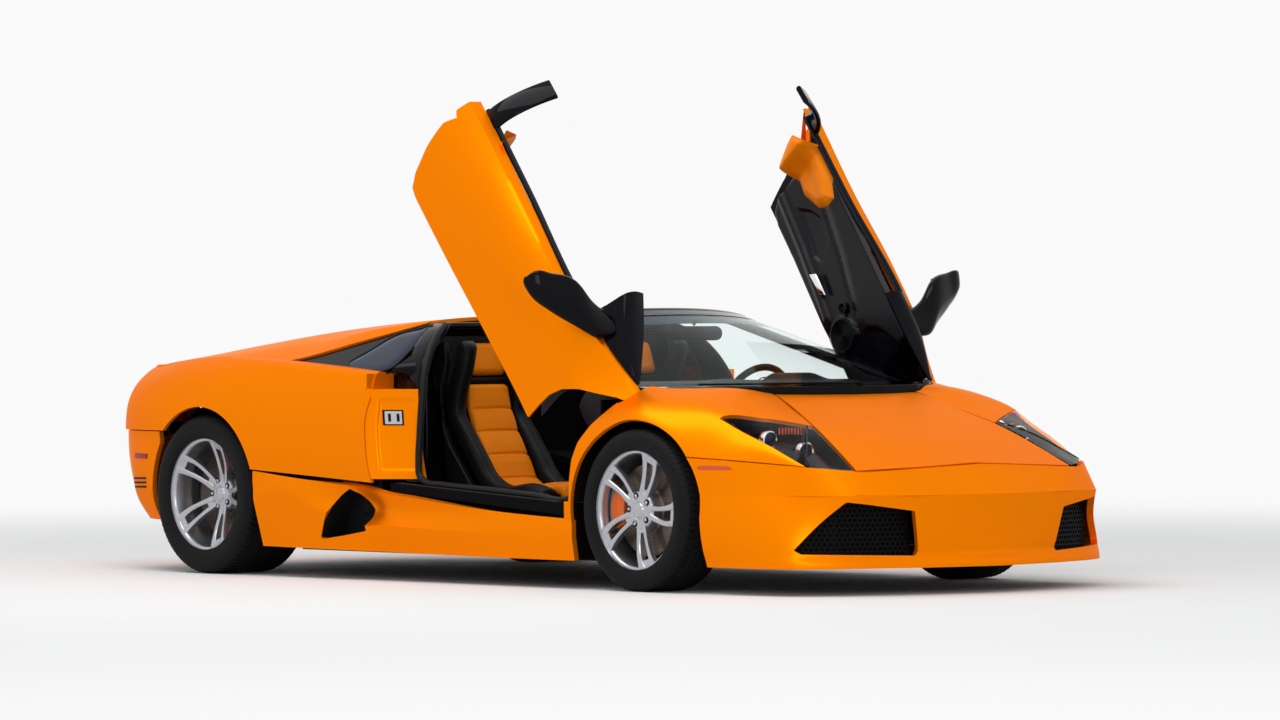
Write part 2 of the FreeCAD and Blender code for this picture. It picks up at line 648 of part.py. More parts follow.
def door_trim():
    """Inner card: seated on the shell's inner face."""
    rows = [row for row in DOOR_ROWS if -310 <= row[0] <= 810]
    sections = []
    for row in rows:
        x, belt_z, side_y = row[0], row[2], row[9]
        face = side_y - door_thickness(x)
        sections.append([v(x, face - 2, belt_z - 70), v(x, face - 26, belt_z - 80),
                         v(x, face - 26, 412), v(x, face - 2, 400)])
    card = loft_between(sections).common(block((-160, 700, 300), (790, 1000, 900)))
    card = card.common(cylinder_y(HINGE_X, HINGE_Z, TRIM_REACH, 700, 1000))
    armrest = loft_between([[v(x, 856, 560), v(x, 856, 615), v(x, 856 - reach, 610), v(x, 866 - reach, 575)]
                            for x, reach in ((20, 24), (180, 72), (420, 76), (560, 26))])
    speaker = cylinder_y(*SPEAKER_PLACE, SPEAKER_R, 800, 856).cut(
        cylinder_y(*SPEAKER_PLACE, SPEAKER_R - 10, 790, 806))
    return largest(fused([card, armrest, speaker]).cut(door_shell()))


SPEAKER_PLACE = (560, 462)
SPEAKER_R = 72.0
TRIM_REACH = 1262.0


# Cover over the windscreen pillar. Columns: x, then y and z of its inner edge, ridge, side and belt
SAIL_ROWS = [
    (1062, 766, 795, 774, 796, 779, 796, 784, 795),
    (872, 690, 867, 778, 866, 812, 822, 832, 802),
    (712, 642, 924, 735, 924, 800, 838, 846, 806),
]
SAIL_INWARD = [(0, -1), (-0.5, -1), (-1, -0.5), (-1, -0.3)]
SAIL_THICKNESS = 10.0
# Black strip along the belt. Columns: x, outer y, lower z
BELT_ROWS = [(1000, 793, 796), (712, 858, 805), (100, 856, 822), (-296, 859, 840)]
BELT_WIDTH = 18.0
BELT_HEIGHT = 14.0


def door_frame():
    """Black cover over the windscreen pillar, belt strip, and the blade behind the side glass."""
    def depth(x):
        return SAIL_THICKNESS if x < 1000 else 4
    sail = loft_between(x_sections(SAIL_ROWS, SAIL_INWARD, depth))
    belt = loft_between([[v(x, y - BELT_WIDTH, z), v(x, y, z), v(x, y - 3, z + BELT_HEIGHT),
                          v(x, y - BELT_WIDTH + 3, z + BELT_HEIGHT)] for x, y, z in BELT_ROWS])
    band = [(862, 836), (836, 905), (760, 985), (664, 1046), (652, 1028), (745, 968), (818, 892),
            (842, 832)]
    blade_side = [(-292, 825), (-200, 825), (-196, 900), (-190, 1060), (-292, 1060), (-296, 900)]
    blade = prism_x(band, -320, -120).common(prism_y(blade_side, 600, 1000))
    frame = fused([sail, belt, blade])
    return largest(frame.cut(door_shell()))


# Door mirror. Columns: y, then x and z of five points round its section
MIRROR_ROWS = [
    (800, 850, 812, 840, 850, 760, 862, 735, 830, 760, 812),
    (880, 850, 812, 835, 850, 720, 890, 700, 860, 760, 812),
    (950, 800, 812, 760, 880, 655, 932, 630, 900, 680, 815),
    (1050, 722, 816, 700, 880, 612, 928, 592, 900, 600, 815),
    (1120, 660, 832, 650, 885, 592, 920, 580, 890, 585, 825),
    (1150, 618, 848, 612, 872, 592, 885, 582, 875, 585, 850),
]


def door_mirror():
    sections = [[v(row[i], row[0], row[i + 1]) for i in range(1, len(row), 2)] for row in MIRROR_ROWS]
    return largest(loft_between(sections).cut(door_frame()).cut(door_shell()))


# Sides and rear

def side_skirt():
    skin = loft_between(x_sections(SKIRT_ROWS, SKIRT_INWARD, SKIRT_WALL))
    skin = skin.common(prism_y(SKIRT_TOP_LIMIT, 850, ARCH_OUT_Y))
    skin = skin.cut(below_rear_arch()).cut(rear_arch()).cut(below_front_arch()).cut(front_arch())
    scoop = prism_y(SCOOP_OUTLINE, SCOOP_IN_Y, ARCH_OUT_Y)
    return largest(skin.cut(scoop).cut(fender()))


SKIRT_TOP_LIMIT = [(990, 100), (990, 270), (-176, 344), (-263, 352), (-480, 381), (-1067, 431),
                   (-1200, 434), (-1200, 100)]


def quarter():
    skin = loft_between(x_sections(QUARTER_ROWS, QUARTER_INWARD, SKIN))
    jamb = prism_x([(846, 416), (984, 416), (988, 520), (980, 650), (950, 770), (925, 806),
                    (846, 806)], -450, -100)
    skin = fused([skin, jamb])
    skin = skin.cut(door_swing_zone(PANEL_GAP)).cut(door_prism(PANEL_GAP, 940, ARCH_OUT_Y))
    skin = skin.cut(prism_y(SKIRT_SHUT_LINE, 500, ARCH_OUT_Y))
    skin = skin.cut(block((-2300, 400, 0), (-1560, ARCH_OUT_Y, TAIL_SHUT_Z)))
    skin = skin.cut(rear_arch()).cut(below_rear_arch())
    return largest(skin)


def deck_skin():
    return loft_between(x_sections(DECK_ROWS, DECK_INWARD, SKIN, mirror_too=True))


def cover_zone(gap):
    half = COVER_HALF_WIDTH - gap
    return block((COVER_REAR_X + gap, -half, 600), (COVER_FRONT_X - gap, half, 1200))


def rear_deck():
    wing = quarter()
    return largest(deck_skin().cut(cover_zone(0)).cut(wing).cut(mirrored(wing)))


def engine_cover():
    """Cover with a row of louvres, each a window with a sloping slat in it."""
    cover = deck_skin().common(cover_zone(PANEL_GAP))
    slats = []
    for index in range(LOUVRE_COUNT):
        x = LOUVRE_FIRST_X - index * LOUVRE_PITCH
        z = 1040 + (x + 700) * 0.09
        cover = cover.cut(block((x - LOUVRE_OPENING, -LOUVRE_HALF, z - 80),
                                (x, LOUVRE_HALF, z + 60)))
        slats.append(prism_y([(x + 4, z - 12), (x - LOUVRE_OPENING + 14, z - 4),
                              (x - LOUVRE_OPENING + 14, z - 10), (x + 4, z - 20)],
                             -LOUVRE_HALF - 2, LOUVRE_HALF + 2))
    return largest(fused([cover] + slats))


def buttress_panels():
    corners = [v(-424, 620, 1028), v(-300, 888, 834), v(-985, 872, 876)]
    normal = (corners[1] - corners[0]).cross(corners[2] - corners[0]).normalize()
    panel = face_of(corners).extrude(normal * 14)
    panel = panel.cut(deck_skin()).cut(quarter()).cut(cabin_rear_frame())
    panel = panel.cut(door_swing_zone(PANEL_GAP))
    return both_sides(largest(panel))


def tail_shell(shallow, deep):
    return loft_between(z_sections(TAIL_LEVELS, TAIL_INWARD, shallow, deep))


def rear_bumper():
    shell = tail_shell(0, TAIL_WALL).common(block((-2400, -1100, 100), (-1500, 1100, TAIL_SHUT_Z - 4)))
    for cutter in (rear_arch(), below_rear_arch()):
        shell = shell.cut(cutter).cut(mirrored(cutter))
    return largest(shell.cut(cylinder_x(0, EXHAUST_Z, EXHAUST_R + 10, -2400, -2100)))


def tail_panel():
    shell = tail_shell(0, TAIL_WALL)
    shell = shell.common(block((-2400, -1100, TAIL_SHUT_Z), (QUARTER_REAR_X - 3, 1100, 900)))
    shell = shell.cut(deck_skin())
    for cutter in (lamp_window(0), mesh_window(0)):
        shell = shell.cut(cutter).cut(mirrored(cutter))
    return largest(shell)


def lamp_window(margin):
    outline = [(470, 640), (735, 650), (700, 790), (500, 800)]
    return prism_x(grown(outline, margin) if margin else outline, -2400, -2100)


def mesh_window(margin):
    half = 400 + margin
    return prism_x([(-half, 640 - margin), (half, 640 - margin), (half - 30, 800 + margin),
                    (30 - half, 800 + margin)], -2400, -2150)


def tail_lamps():
    sheet = tail_shell(TAIL_WALL, TAIL_WALL + 30)
    left = largest(sheet.common(lamp_window(10)).cut(deck_skin()))
    return both_sides(left)


def rear_grille():
    sheet = prism_y([(-2268, 625), (-2230, 812), (-2220, 812), (-2258, 625)], -420, 420)
    holes = honeycomb(800, 650, 790, REAR_GRILLE_PITCH, GRILLE_WEB)
    holes.rotate(v(0, 0, 0), v(0, 0, 1), 90)
    holes.translate(v(-2244, -400, 0))
    sheet = sheet.common(mesh_window(8)).cut(holes)
    return largest(sheet.cut(deck_skin()).cut(tail_panel()))


def undertray():
    front = [(1900, -720), (2020, -620), (2140, -400), (2190, -250), (2210, 0), (2190, 250),
             (2140, 400), (2020, 620), (1900, 720)]
    nose = prism_z(front + [(1620, 560), (1620, -560)], 104, 112)
    middle = block((900, -520, 104), (1625, 520, 112))
    centre = block((-1060, -770, 104), (905, 770, 112))
    rear = prism_z([(-1055, -520), (-1055, 520), (-1900, 520), (-1900, -520)], 104, 112)
    return fused([nose, middle, centre, rear])


def diffuser():
    floor = prism_y([(-1902, 104), (-1902, 116), (-2148, 211), (-2148, 199)], -560, 560)
    fins = [prism_y([(-1930, 116), (-2144, 112), (-2144, 206)], y - 5, y + 5)
            for y in (-420, -210, 210, 420)]
    return fused([floor] + fins)


def engine_block():
    return fused([block((-1250, -260, 180), (-640, 260, 640)),
                  block((-1250, -330, 470), (-680, 330, 700)),
                  block((-1900, -190, 190), (-1250, 190, 480))])


EXHAUST_Z = 400.0
EXHAUST_R = 62.0


def exhaust():
    box = block((-2130, -330, 330), (-1930, 330, 480))
    pipe = cylinder_x(0, EXHAUST_Z, EXHAUST_R, -2280, -2120)
    bore = cylinder_x(0, EXHAUST_Z, EXHAUST_R - 6, -2290, -2150)
    return fused([box, pipe]).cut(bore)


def luggage_tub():
    outer = block((1480, -330, 180), (1920, 330, 530))
    return outer.cut(block((1492, -318, 192), (1908, 318, 600)))


def wheel_liner(axle_x, centre_z, radius, y_in, y_out, low_z):
    ring = cylinder_y(axle_x, centre_z, radius + 8, y_in, y_out).cut(
        cylinder_y(axle_x, centre_z, radius, y_in - 5, y_out + 5))
    return largest(ring.common(block((axle_x - 600, y_in, low_z), (axle_x + 600, y_out, 900))))


def wheel_liners():
    front = wheel_liner(FRONT_AXLE_X, 310, FRONT_ARCH_R + 3, 548, 845, 330)
    rear = wheel_liner(REAR_AXLE_X, 325, REAR_ARCH_R + 3, 560, 930, 330)
    rear = largest(rear.cut(quarter()))
    return Part.Compound([front, mirrored(front), rear, mirrored(rear)])


def wishbone(axle_x, z_in, z_out, y_in, y_out, spread, tip):
    """An A-shaped arm: two legs from the chassis to one ball joint."""
    outer = [(axle_x - spread, y_in), (axle_x - tip, y_out), (axle_x + tip, y_out), (axle_x + spread, y_in)]
    inner = [(axle_x - spread + 38, y_in - 1), (axle_x, y_out - 75), (axle_x + spread - 38, y_in - 1)]
    low = min(z_in, z_out) - 40
    plan = prism_z(outer, low, low + 200).cut(prism_z(inner, low - 1, low + 201))
    side = prism_x([(y_in - 5, z_in - 12), (y_out + 5, z_out - 12), (y_out + 5, z_out + 12),
                    (y_in - 5, z_in + 12)], axle_x - 400, axle_x + 400)
    return largest(plan.common(side))


def front_wishbones():
    low = wishbone(FRONT_AXLE_X, 190, 196, 440, KINGPIN_Y - 3, 170, 24)
    high = wishbone(FRONT_AXLE_X, 450, 432, 470, KINGPIN_Y - 3, 120, 22)
    beam = block((1050, 330, 150), (1420, 441, 480))
    high_foot = block((1110, 400, 430), (1360, 472, 480))
    left = fused([low, high, beam, high_foot])
    return both_sides(left)


def front_upright():
    """Hub carrier with the brake caliper, on the steering axis."""
    z0 = FRONT_TYRE_R
    post = Part.makeCylinder(KINGPIN_R, 204, v(FRONT_AXLE_X, KINGPIN_Y, 212))
    carrier = cylinder_y(FRONT_AXLE_X, z0, 62, KINGPIN_Y - 30, KINGPIN_Y + 18)
    arm = block((FRONT_AXLE_X - 215, KINGPIN_Y - 20, z0 - 40), (FRONT_AXLE_X - 20, KINGPIN_Y + 10, z0 + 40))
    body = fused([post, carrier, arm]).common(cylinder_y(FRONT_AXLE_X, z0, 206, 700, 1000))
    return fused([body, caliper(FRONT_AXLE_X, FRONT_HALF_TRACK, z0, -1)])


def caliper(axle_x, wheel_y, z0, toward):
    """Bridges the disc with running clearance on both faces and at the rim of the disc.
    It sits ahead of the axle where toward is 1, and behind it where it is -1."""
    far_x = axle_x + toward * 260
    sector = [(axle_x, z0), (far_x, z0 - 115), (far_x, z0 + 115)]
    ring = cylinder_y(axle_x, z0, 206, wheel_y - 22, wheel_y + 58)
    ring = ring.cut(cylinder_y(axle_x, z0, 122, wheel_y - 30, wheel_y + 70))
    ring = ring.cut(cylinder_y(axle_x, z0, DISC_R + 7, wheel_y + DISC_IN - 7, wheel_y + DISC_OUT + 7))
    return largest(ring.common(prism_y(sector, wheel_y - 40, wheel_y + 80)))


def rear_suspension():
    z0 = REAR_TYRE_R
    low = wishbone(REAR_AXLE_X, 190, 200, 330, REAR_HALF_TRACK - 60, 200, 26)
    high = wishbone(REAR_AXLE_X, 470, 450, 360, REAR_HALF_TRACK - 60, 150, 24)
    rail = block((REAR_AXLE_X - 210, 262, 150), (REAR_AXLE_X + 180, 331, 500))
    post = block((REAR_AXLE_X - 30, REAR_HALF_TRACK - 86, 176), (REAR_AXLE_X + 30, REAR_HALF_TRACK - 26, 470))
    carrier = cylinder_y(REAR_AXLE_X, z0, 66, REAR_HALF_TRACK - 90, REAR_HALF_TRACK - 6)
    arm = block((REAR_AXLE_X, REAR_HALF_TRACK - 60, z0 - 40), (REAR_AXLE_X + 200, REAR_HALF_TRACK - 12, z0 + 40))
    high_foot = block((REAR_AXLE_X - 160, 300, 450), (REAR_AXLE_X + 160, 362, 495))
    left = fused([low, high, rail, high_foot, post, carrier, arm,
                  caliper(REAR_AXLE_X, REAR_HALF_TRACK, z0, 1)])
    return both_sides(left)


# Wheels, drawn on the car's left about the Y axis through the origin, then moved

DISC_R = 178.0
DISC_IN = 8.0
DISC_OUT = 36.0
BEAD_R = 229.0
BARREL_R = 216.0
FLANGE_R = 247.0
SPOKE_COUNT = 5
LUG_CIRCLE_R = 57.0
LUG_RECESS_R = 11.0
FRONT_HUB_TOP = 93.0
REAR_HUB_TOP = 71.0
FRONT_SPOKE_PHASE = 22.0
REAR_SPOKE_PHASE = 18.0
TYRE_SIDES = 60


def revolved(profile_rw):
    """Turn a profile of radius and axial place about the Y axis, seam at the bottom."""
    return face_of([v(0, w, -r) for r, w in profile_rw]).revolve(v(0, 0, 0), v(0, 1, 0), 360)


def ring_of_flats(profile_rw, sides):
    """A closed ring about the Y axis made of flat faces, with one flat at the bottom."""
    turns = [2 * math.pi * (index + 0.5) / sides for index in range(sides)]
    stretch = 1 / math.cos(math.pi / sides)
    rings = [[v(r * stretch * math.sin(t), w, -r * stretch * math.cos(t)) for r, w in profile_rw]
             for t in turns]
    faces = []
    for index in range(sides):
        here, there = rings[index - 1], rings[index]
        for j in range(len(profile_rw)):
            faces.append(face_of([here[j - 1], here[j], there[j], there[j - 1]]))
    solid = Part.Solid(Part.Shell(faces))
    if solid.Volume < 0:
        solid.reverse()
    return solid


def tyre(radius, width):
    half = width / 2
    bead = half - 17
    wall = radius - BEAD_R
    side = [(BEAD_R, -bead), (BEAD_R + 20, -bead - 1), (BEAD_R + 0.55 * wall, -half),
            (radius - 12, -half + 8), (radius, -half + 36)]
    return ring_of_flats(side + [(r, -w) for r, w in reversed(side)], TYRE_SIDES)


def wheel(width, hub_top, spoke_phase):
    """Rim, five pairs of curved twin spokes, hub with lug recesses, and brake disc."""
    bead = width / 2 - 17
    barrel = [(BARREL_R, -bead - 5), (FLANGE_R, -bead - 5), (FLANGE_R, -bead - 1.5), (BEAD_R, -bead - 0.5),
              (BEAD_R, bead + 0.5), (FLANGE_R, bead + 1.5), (FLANGE_R, bead + 5), (BARREL_R, bead + 5)]
    shapes = [revolved(barrel)]
    shapes.append(revolved([(0.0, HUB_FACE), (80, HUB_FACE), (74, hub_top - 6), (34, hub_top - 4),
                            (30, hub_top + 2), (0.0, hub_top + 3)]))
    rim_top = bead - 6
    for index in range(SPOKE_COUNT):
        angle = spoke_phase + index * 360.0 / SPOKE_COUNT
        shapes += [turned_about_axle(arm, angle) for arm in spoke_pair(hub_top, rim_top)]
    disc = revolved([(62, DISC_IN), (DISC_R, DISC_IN), (DISC_R, DISC_OUT), (84, DISC_OUT),
                     (80, HUB_FACE + 2), (40, HUB_FACE + 2), (40, DISC_IN + 16), (62, DISC_IN + 16)])
    shapes.append(disc)
    rim = fused(shapes)
    for index in range(SPOKE_COUNT):
        lug = cylinder_y(0, LUG_CIRCLE_R, LUG_RECESS_R, hub_top - 16, hub_top + 20)
        rim = rim.cut(turned_about_axle(lug, spoke_phase + (index + 0.5) * 360.0 / SPOKE_COUNT))
    return rim


def turned_about_axle(shape, angle):
    turned = shape.copy()
    turned.rotate(v(0, 0, 0), v(0, 1, 0), angle)
    return turned


# Twin spoke. Columns: radius, offset of each bar from the middle, shared bend, half width, depth
SPOKE_STATIONS = [(46, 12, 0, 14, 16), (90, 19, 5, 11, 24), (130, 25, 8, 10, 28), (170, 30, 6, 11, 26),
                  (202, 32, -1, 14, 22), (224, 34, -10, 19, 18)]
SPOKE_CURVE = 1.25


def spoke_height(radius, hub_top, rim_top):
    """Outer face of the spokes: low at the hub, rising to the rim."""
    first, last = SPOKE_STATIONS[0][0], SPOKE_STATIONS[-1][0]
    return hub_top - 4 + (rim_top - hub_top + 4) * ((radius - first) / (last - first)) ** SPOKE_CURVE


def spoke_pair(hub_top, rim_top):
    """Two bars that start together at the hub and meet again in a web by the rim."""
    def section(radius, low, high, top, depth):
        return [v(low, top, radius), v(high, top, radius), v(high - 2, top - depth, radius),
                v(low + 2, top - depth, radius)]
    arms = []
    for side in (-1, 1):
        sections = []
        for radius, offset, bend, half, depth in SPOKE_STATIONS:
            centre = side * offset + bend
            top = spoke_height(radius, hub_top, rim_top)
            sections.append(section(radius, centre - half, centre + half, top, depth))
        arms.append(loft_between(sections))
    for first, last in ((0, 1), (4, 5)):
        web = []
        for radius, offset, bend, half, depth in SPOKE_STATIONS[first:last + 1]:
            top = spoke_height(radius, hub_top, rim_top) - 3
            web.append(section(radius, bend - offset, bend + offset, top, depth - 6))
        arms.append(loft_between(web))
    barrel = cylinder_y(0, 0, BARREL_R + 6, 0, 300)
    return [arm.common(barrel) for arm in arms]


def placed(shape, x, y, z):
    moved = shape.copy()
    moved.translate(v(x, y, z))
    return moved


def main():
    os.makedirs("parts", exist_ok=True)
    parts = {}

    def on_both(name, shape):
        parts[name + "_left"] = shape
        parts[name + "_right"] = mirrored(shape)

    parts["bonnet"] = bonnet()
    parts["headlamps"] = both_sides(headlamp())
    parts["headlamp_covers"] = both_sides(headlamp_cover())
    on_both("front_wing", fender())
    parts["front_bumper"] = front_bumper()
    parts["intake_grilles"] = intake_grilles()
    parts["windscreen"] = windscreen()
    parts["windscreen_frame"] = windscreen_frame()
    parts["cowl_panel"] = cowl_panel()
    parts["wiper"] = wiper()
    parts["cabin_tub"] = cabin_tub()
    parts["cabin_rear_frame"] = cabin_rear_frame()
    parts["dashboard"] = dashboard()
    parts["centre_console"] = centre_console().cut(dashboard()).cut(cabin_tub())
    on_both("seat", seat())
    parts["interior_mirror"] = interior_mirror()
    parts["steering_wheel"] = steering_wheel()
    parts["steering_column"] = steering_column()
    parts["side_skirts"] = both_sides(side_skirt())
    on_both("rear_wing", quarter())
    parts["rear_deck"] = rear_deck()
    parts["engine_cover"] = engine_cover()
    parts["buttress_panels"] = buttress_panels()
    parts["rear_bumper"] = rear_bumper()
    parts["tail_panel"] = tail_panel()
    parts["tail_lamps"] = tail_lamps()
    parts["rear_grille"] = rear_grille()
    parts["undertray"] = undertray()
    parts["diffuser"] = diffuser()
    parts["engine_block"] = engine_block()
    parts["exhaust"] = exhaust()
    parts["luggage_tub"] = luggage_tub()
    parts["wheel_liners"] = wheel_liners()
    parts["front_wishbones"] = front_wishbones()
    parts["rear_suspension"] = rear_suspension()
    on_both("front_upright", front_upright())
    on_both("door_shell", open_door(door_shell()))
    on_both("door_trim", open_door(door_trim()))
    on_both("door_frame", open_door(door_frame()))
    on_both("door_mirror", open_door(door_mirror()))

    front_tyre = tyre(FRONT_TYRE_R, FRONT_TYRE_WIDTH)
    rear_tyre = tyre(REAR_TYRE_R, REAR_TYRE_WIDTH)
    front_wheel = wheel(FRONT_TYRE_WIDTH, FRONT_HUB_TOP, FRONT_SPOKE_PHASE)
    rear_wheel = wheel(REAR_TYRE_WIDTH, REAR_HUB_TOP, REAR_SPOKE_PHASE)
    on_both("front_tyre", placed(front_tyre, FRONT_AXLE_X, FRONT_HALF_TRACK, FRONT_TYRE_R))
    on_both("front_rim", placed(front_wheel, FRONT_AXLE_X, FRONT_HALF_TRACK, FRONT_TYRE_R))
    on_both("rear_tyre", placed(rear_tyre, REAR_AXLE_X, REAR_HALF_TRACK, REAR_TYRE_R))
    on_both("rear_rim", placed(rear_wheel, REAR_AXLE_X, REAR_HALF_TRACK, REAR_TYRE_R))

    for name, shape in parts.items():
        shape.exportStep("parts/%s.step" % name)
        box = shape.BoundBox
        print("%-20s solids %d valid %s  x %7.0f %7.0f  y %7.0f %7.0f  z %6.0f %6.0f" % (
            name, len(shape.Solids), shape.isValid(), box.XMin, box.XMax, box.YMin, box.YMax,
            box.ZMin, box.ZMax))


main()
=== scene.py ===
import math

import bmesh
import bpy
import numpy as np
from mathutils import Matrix, Vector


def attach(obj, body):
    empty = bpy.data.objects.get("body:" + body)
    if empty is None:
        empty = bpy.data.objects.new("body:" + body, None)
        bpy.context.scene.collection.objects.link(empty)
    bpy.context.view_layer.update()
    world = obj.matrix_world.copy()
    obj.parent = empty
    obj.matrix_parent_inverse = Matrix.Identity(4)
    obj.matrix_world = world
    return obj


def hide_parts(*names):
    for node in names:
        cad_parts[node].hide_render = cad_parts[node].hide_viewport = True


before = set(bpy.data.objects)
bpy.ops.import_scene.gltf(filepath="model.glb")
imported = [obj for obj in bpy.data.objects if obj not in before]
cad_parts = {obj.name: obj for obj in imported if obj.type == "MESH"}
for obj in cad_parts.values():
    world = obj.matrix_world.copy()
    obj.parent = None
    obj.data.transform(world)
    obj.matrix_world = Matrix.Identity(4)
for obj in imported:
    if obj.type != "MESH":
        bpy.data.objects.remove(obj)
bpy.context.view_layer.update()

# A mid-engined two-seat roadster with scissor doors raised. Lengths below are in millimetres,
# in the frame of the solids: +X forward, +Y the car's left, +Z up. MM turns them into metres.
# PITCH is a skin's usual spacing, PANEL a panel's thickness and GAP the width of a shut line.
MM = 0.001
XY, XZ, YZ = (0, 1), (0, 2), (1, 2)
SIDES = (("left", 1), ("right", -1))
DOOR = "door_{}"
PITCH = 13.0
PANEL = 15.0
GAP = 4.5

FRONT_AXLE_X = 1235.0
REAR_AXLE_X = -1430.0
FRONT_TRACK_Y = 817.5
REAR_TRACK_Y = 847.5
FRONT_R = 314.0
REAR_R = 329.0
HINGE_X = 1075.0
HINGE_Z = 775.0
DOOR_OPEN = math.radians(50.7)


# Points and faces

def spline(knots, values, at):
    """Cubic curve through the values at the knots, one column for each coordinate."""
    knots = np.asarray(knots, float)
    values = np.asarray(values, float)
    step = np.diff(knots)
    slope = np.diff(values, axis=0) / step[:, None]
    tangent = np.empty_like(values)
    weight = step[:-1] + step[1:]
    tangent[1:-1] = (slope[:-1] * step[1:, None] + slope[1:] * step[:-1, None]) / weight[:, None]
    tangent[0] = slope[0] if len(step) == 1 else 1.5 * slope[0] - 0.5 * tangent[1]
    tangent[-1] = slope[-1] if len(step) == 1 else 1.5 * slope[-1] - 0.5 * tangent[-2]
    index = np.clip(np.searchsorted(knots, at, side="right") - 1, 0, len(step) - 1)
    t = ((at - knots[index]) / step[index])[:, None]
    h = step[index][:, None]
    return ((2 * t**3 - 3 * t**2 + 1) * values[index] + (t**3 - 2 * t**2 + t) * h * tangent[index]
            + (3 * t**2 - 2 * t**3) * values[index + 1] + (t**3 - t**2) * h * tangent[index + 1])


def softened(values, reach):
    """Blur a line of points along its length and keep its ends."""
    if reach < 1:
        return values
    kernel = np.exp(-np.linspace(-2, 2, 2 * reach + 1)**2)
    kernel /= kernel.sum()
    padded = np.pad(values, ((reach, reach), (0, 0)), mode="reflect", reflect_type="odd")
    columns = [np.convolve(padded[:, k], kernel, mode="valid") for k in range(values.shape[1])]
    return np.stack(columns, axis=1)


def across(rails, sharp, pitch):
    """Fill in between the rails of each station, with an edge at the sharp ones."""
    count, rail_count = rails.shape[:2]
    gaps = np.linalg.norm(np.diff(rails, axis=1), axis=2).mean(axis=0) + 1e-3
    knots = np.concatenate([[0.0], np.cumsum(gaps)])
    stops = [0] + sorted(sharp) + [rail_count - 1]
    strips = []
    for first, last in zip(stops[:-1], stops[1:]):
        at = [np.linspace(knots[j], knots[j + 1], max(3, int(gaps[j] / pitch) + 2))[:-1]
              for j in range(first, last)]
        at = np.concatenate(at + [[knots[last]]])
        values = rails[:, first:last + 1].transpose(1, 0, 2).reshape(last - first + 1, -1)
        strip = spline(knots[first:last + 1], values, at).reshape(len(at), count, -1)
        strips.append(strip[(1 if strips else 0):])
    return np.concatenate(strips).transpose(1, 0, 2)


def skin(rows, sharp=(), along=0, blur=4, pitch=PITCH, symmetric=False):
    """A triangle mesh through rows of one station coordinate and then pairs of the other two.
    along is the axis of the stations."""
    rows = np.array(sorted(rows), float)
    if symmetric:
        half = rows[:, 1:].reshape(len(rows), -1, 2)
        side = 0 if along == 0 else 1
        other = half[:, :0:-1].copy()
        other[:, :, side] *= -1
        rails = np.concatenate([other, half], axis=1)
        extra = half.shape[1] - 1
        sharp = [extra - k for k in sharp] + [extra + k for k in sharp]
        rows = np.concatenate([rows[:, :1], rails.reshape(len(rows), -1)], axis=1)
    count = int((rows[-1, 0] - rows[0, 0]) / pitch) + 2
    stations = np.linspace(rows[0, 0], rows[-1, 0], count)
    flat = softened(spline(rows[:, 0], rows[:, 1:], stations), blur)
    grid = across(flat.reshape(count, -1, 2), sorted(sharp), pitch)
    place = np.repeat(stations[:, None, None], grid.shape[1], axis=1)
    if along == 0:
        points = np.concatenate([place, grid], axis=2)
    else:
        points = np.concatenate([grid, place], axis=2)
    return points.reshape(-1, 3), grid_faces(*grid.shape[:2])


def grid_faces(rows, columns):
    """Two triangles for each cell of a grid of points."""
    index = np.arange(rows * columns).reshape(rows, columns)
    corners = index[:-1, :-1], index[:-1, 1:], index[1:, 1:], index[1:, :-1]
    a, b, c, d = [corner.ravel() for corner in corners]
    return np.concatenate([np.stack([a, b, c], axis=1), np.stack([a, c, d], axis=1)]).tolist()


def mirrored(shape):
    points, faces = shape
    return points * (1, -1, 1), [face[::-1] for face in faces]


def joined(*shapes):
    points, faces, base = [], [], 0
    for these, those in shapes:
        points.append(np.asarray(these, float))
        faces += [[i + base for i in face] for face in those]
        base += len(these)
    return np.concatenate(points), faces


def both(shape):
    return joined(shape, mirrored(shape))


def moved(shape, x=0.0, y=0.0, z=0.0):
    return shape[0] + (x, y, z), shape[1]


def turned(shape, angle, axis="Y", about=(0.0, 0.0, 0.0)):
    turn = np.array(Matrix.Rotation(angle, 3, axis))
    return (shape[0] - about) @ turn.T + about, shape[1]


def drawn_in(ring, share):
    """A ring drawn in towards its middle, to this share of its size."""
    middle = ring.mean(axis=0)
    return middle + (ring - middle) * share


def at_y(ring, y):
    """A ring of the side view, at a place across the car."""
    return [(x, y, z) for x, z in ring]


def opened(shape):
    """A door piece drawn closed, turned up to the place in which the car is drawn."""
    return turned(shape, DOOR_OPEN, "Y", (HINGE_X, 0.0, HINGE_Z))


# Fields: negative where a skin is kept. Points nearer than SNAP to a cut are taken as on it.
SNAP = 0.4


def within(outline, axes, grow=0.0):
    """Inside an outline drawn in two of the axes, grown by some distance."""
    start = np.array(outline, float)
    edge = np.roll(start, -1, axis=0) - start
    end = start + edge

    def field(points):
        spot = points[:, axes]
        away = spot[:, None] - start
        t = np.clip((away * edge).sum(axis=2) / (edge**2).sum(axis=1), 0, 1)
        distance = np.linalg.norm(away - t[..., None] * edge, axis=2).min(axis=1)
        u, w = spot[:, :1], spot[:, 1:]
        crossing = (start[:, 1] > w) != (end[:, 1] > w)
        reach = start[:, 0] + (w - start[:, 1]) * edge[:, 0] / (edge[:, 1] + 1e-12)
        inside = (crossing & (u < reach)).sum(axis=1) % 2 == 1
        return np.where(inside, -distance, distance) - grow
    return field


def in_circle(x, z, radius):
    return lambda points: np.hypot(points[:, 0] - x, points[:, 2] - z) - radius


def opposite(field):
    return lambda points: -field(points)


def beyond(outline, axes, grow=0.0):
    return opposite(within(outline, axes, grow))


def clear_of_circle(x, z, radius):
    return opposite(in_circle(x, z, radius))


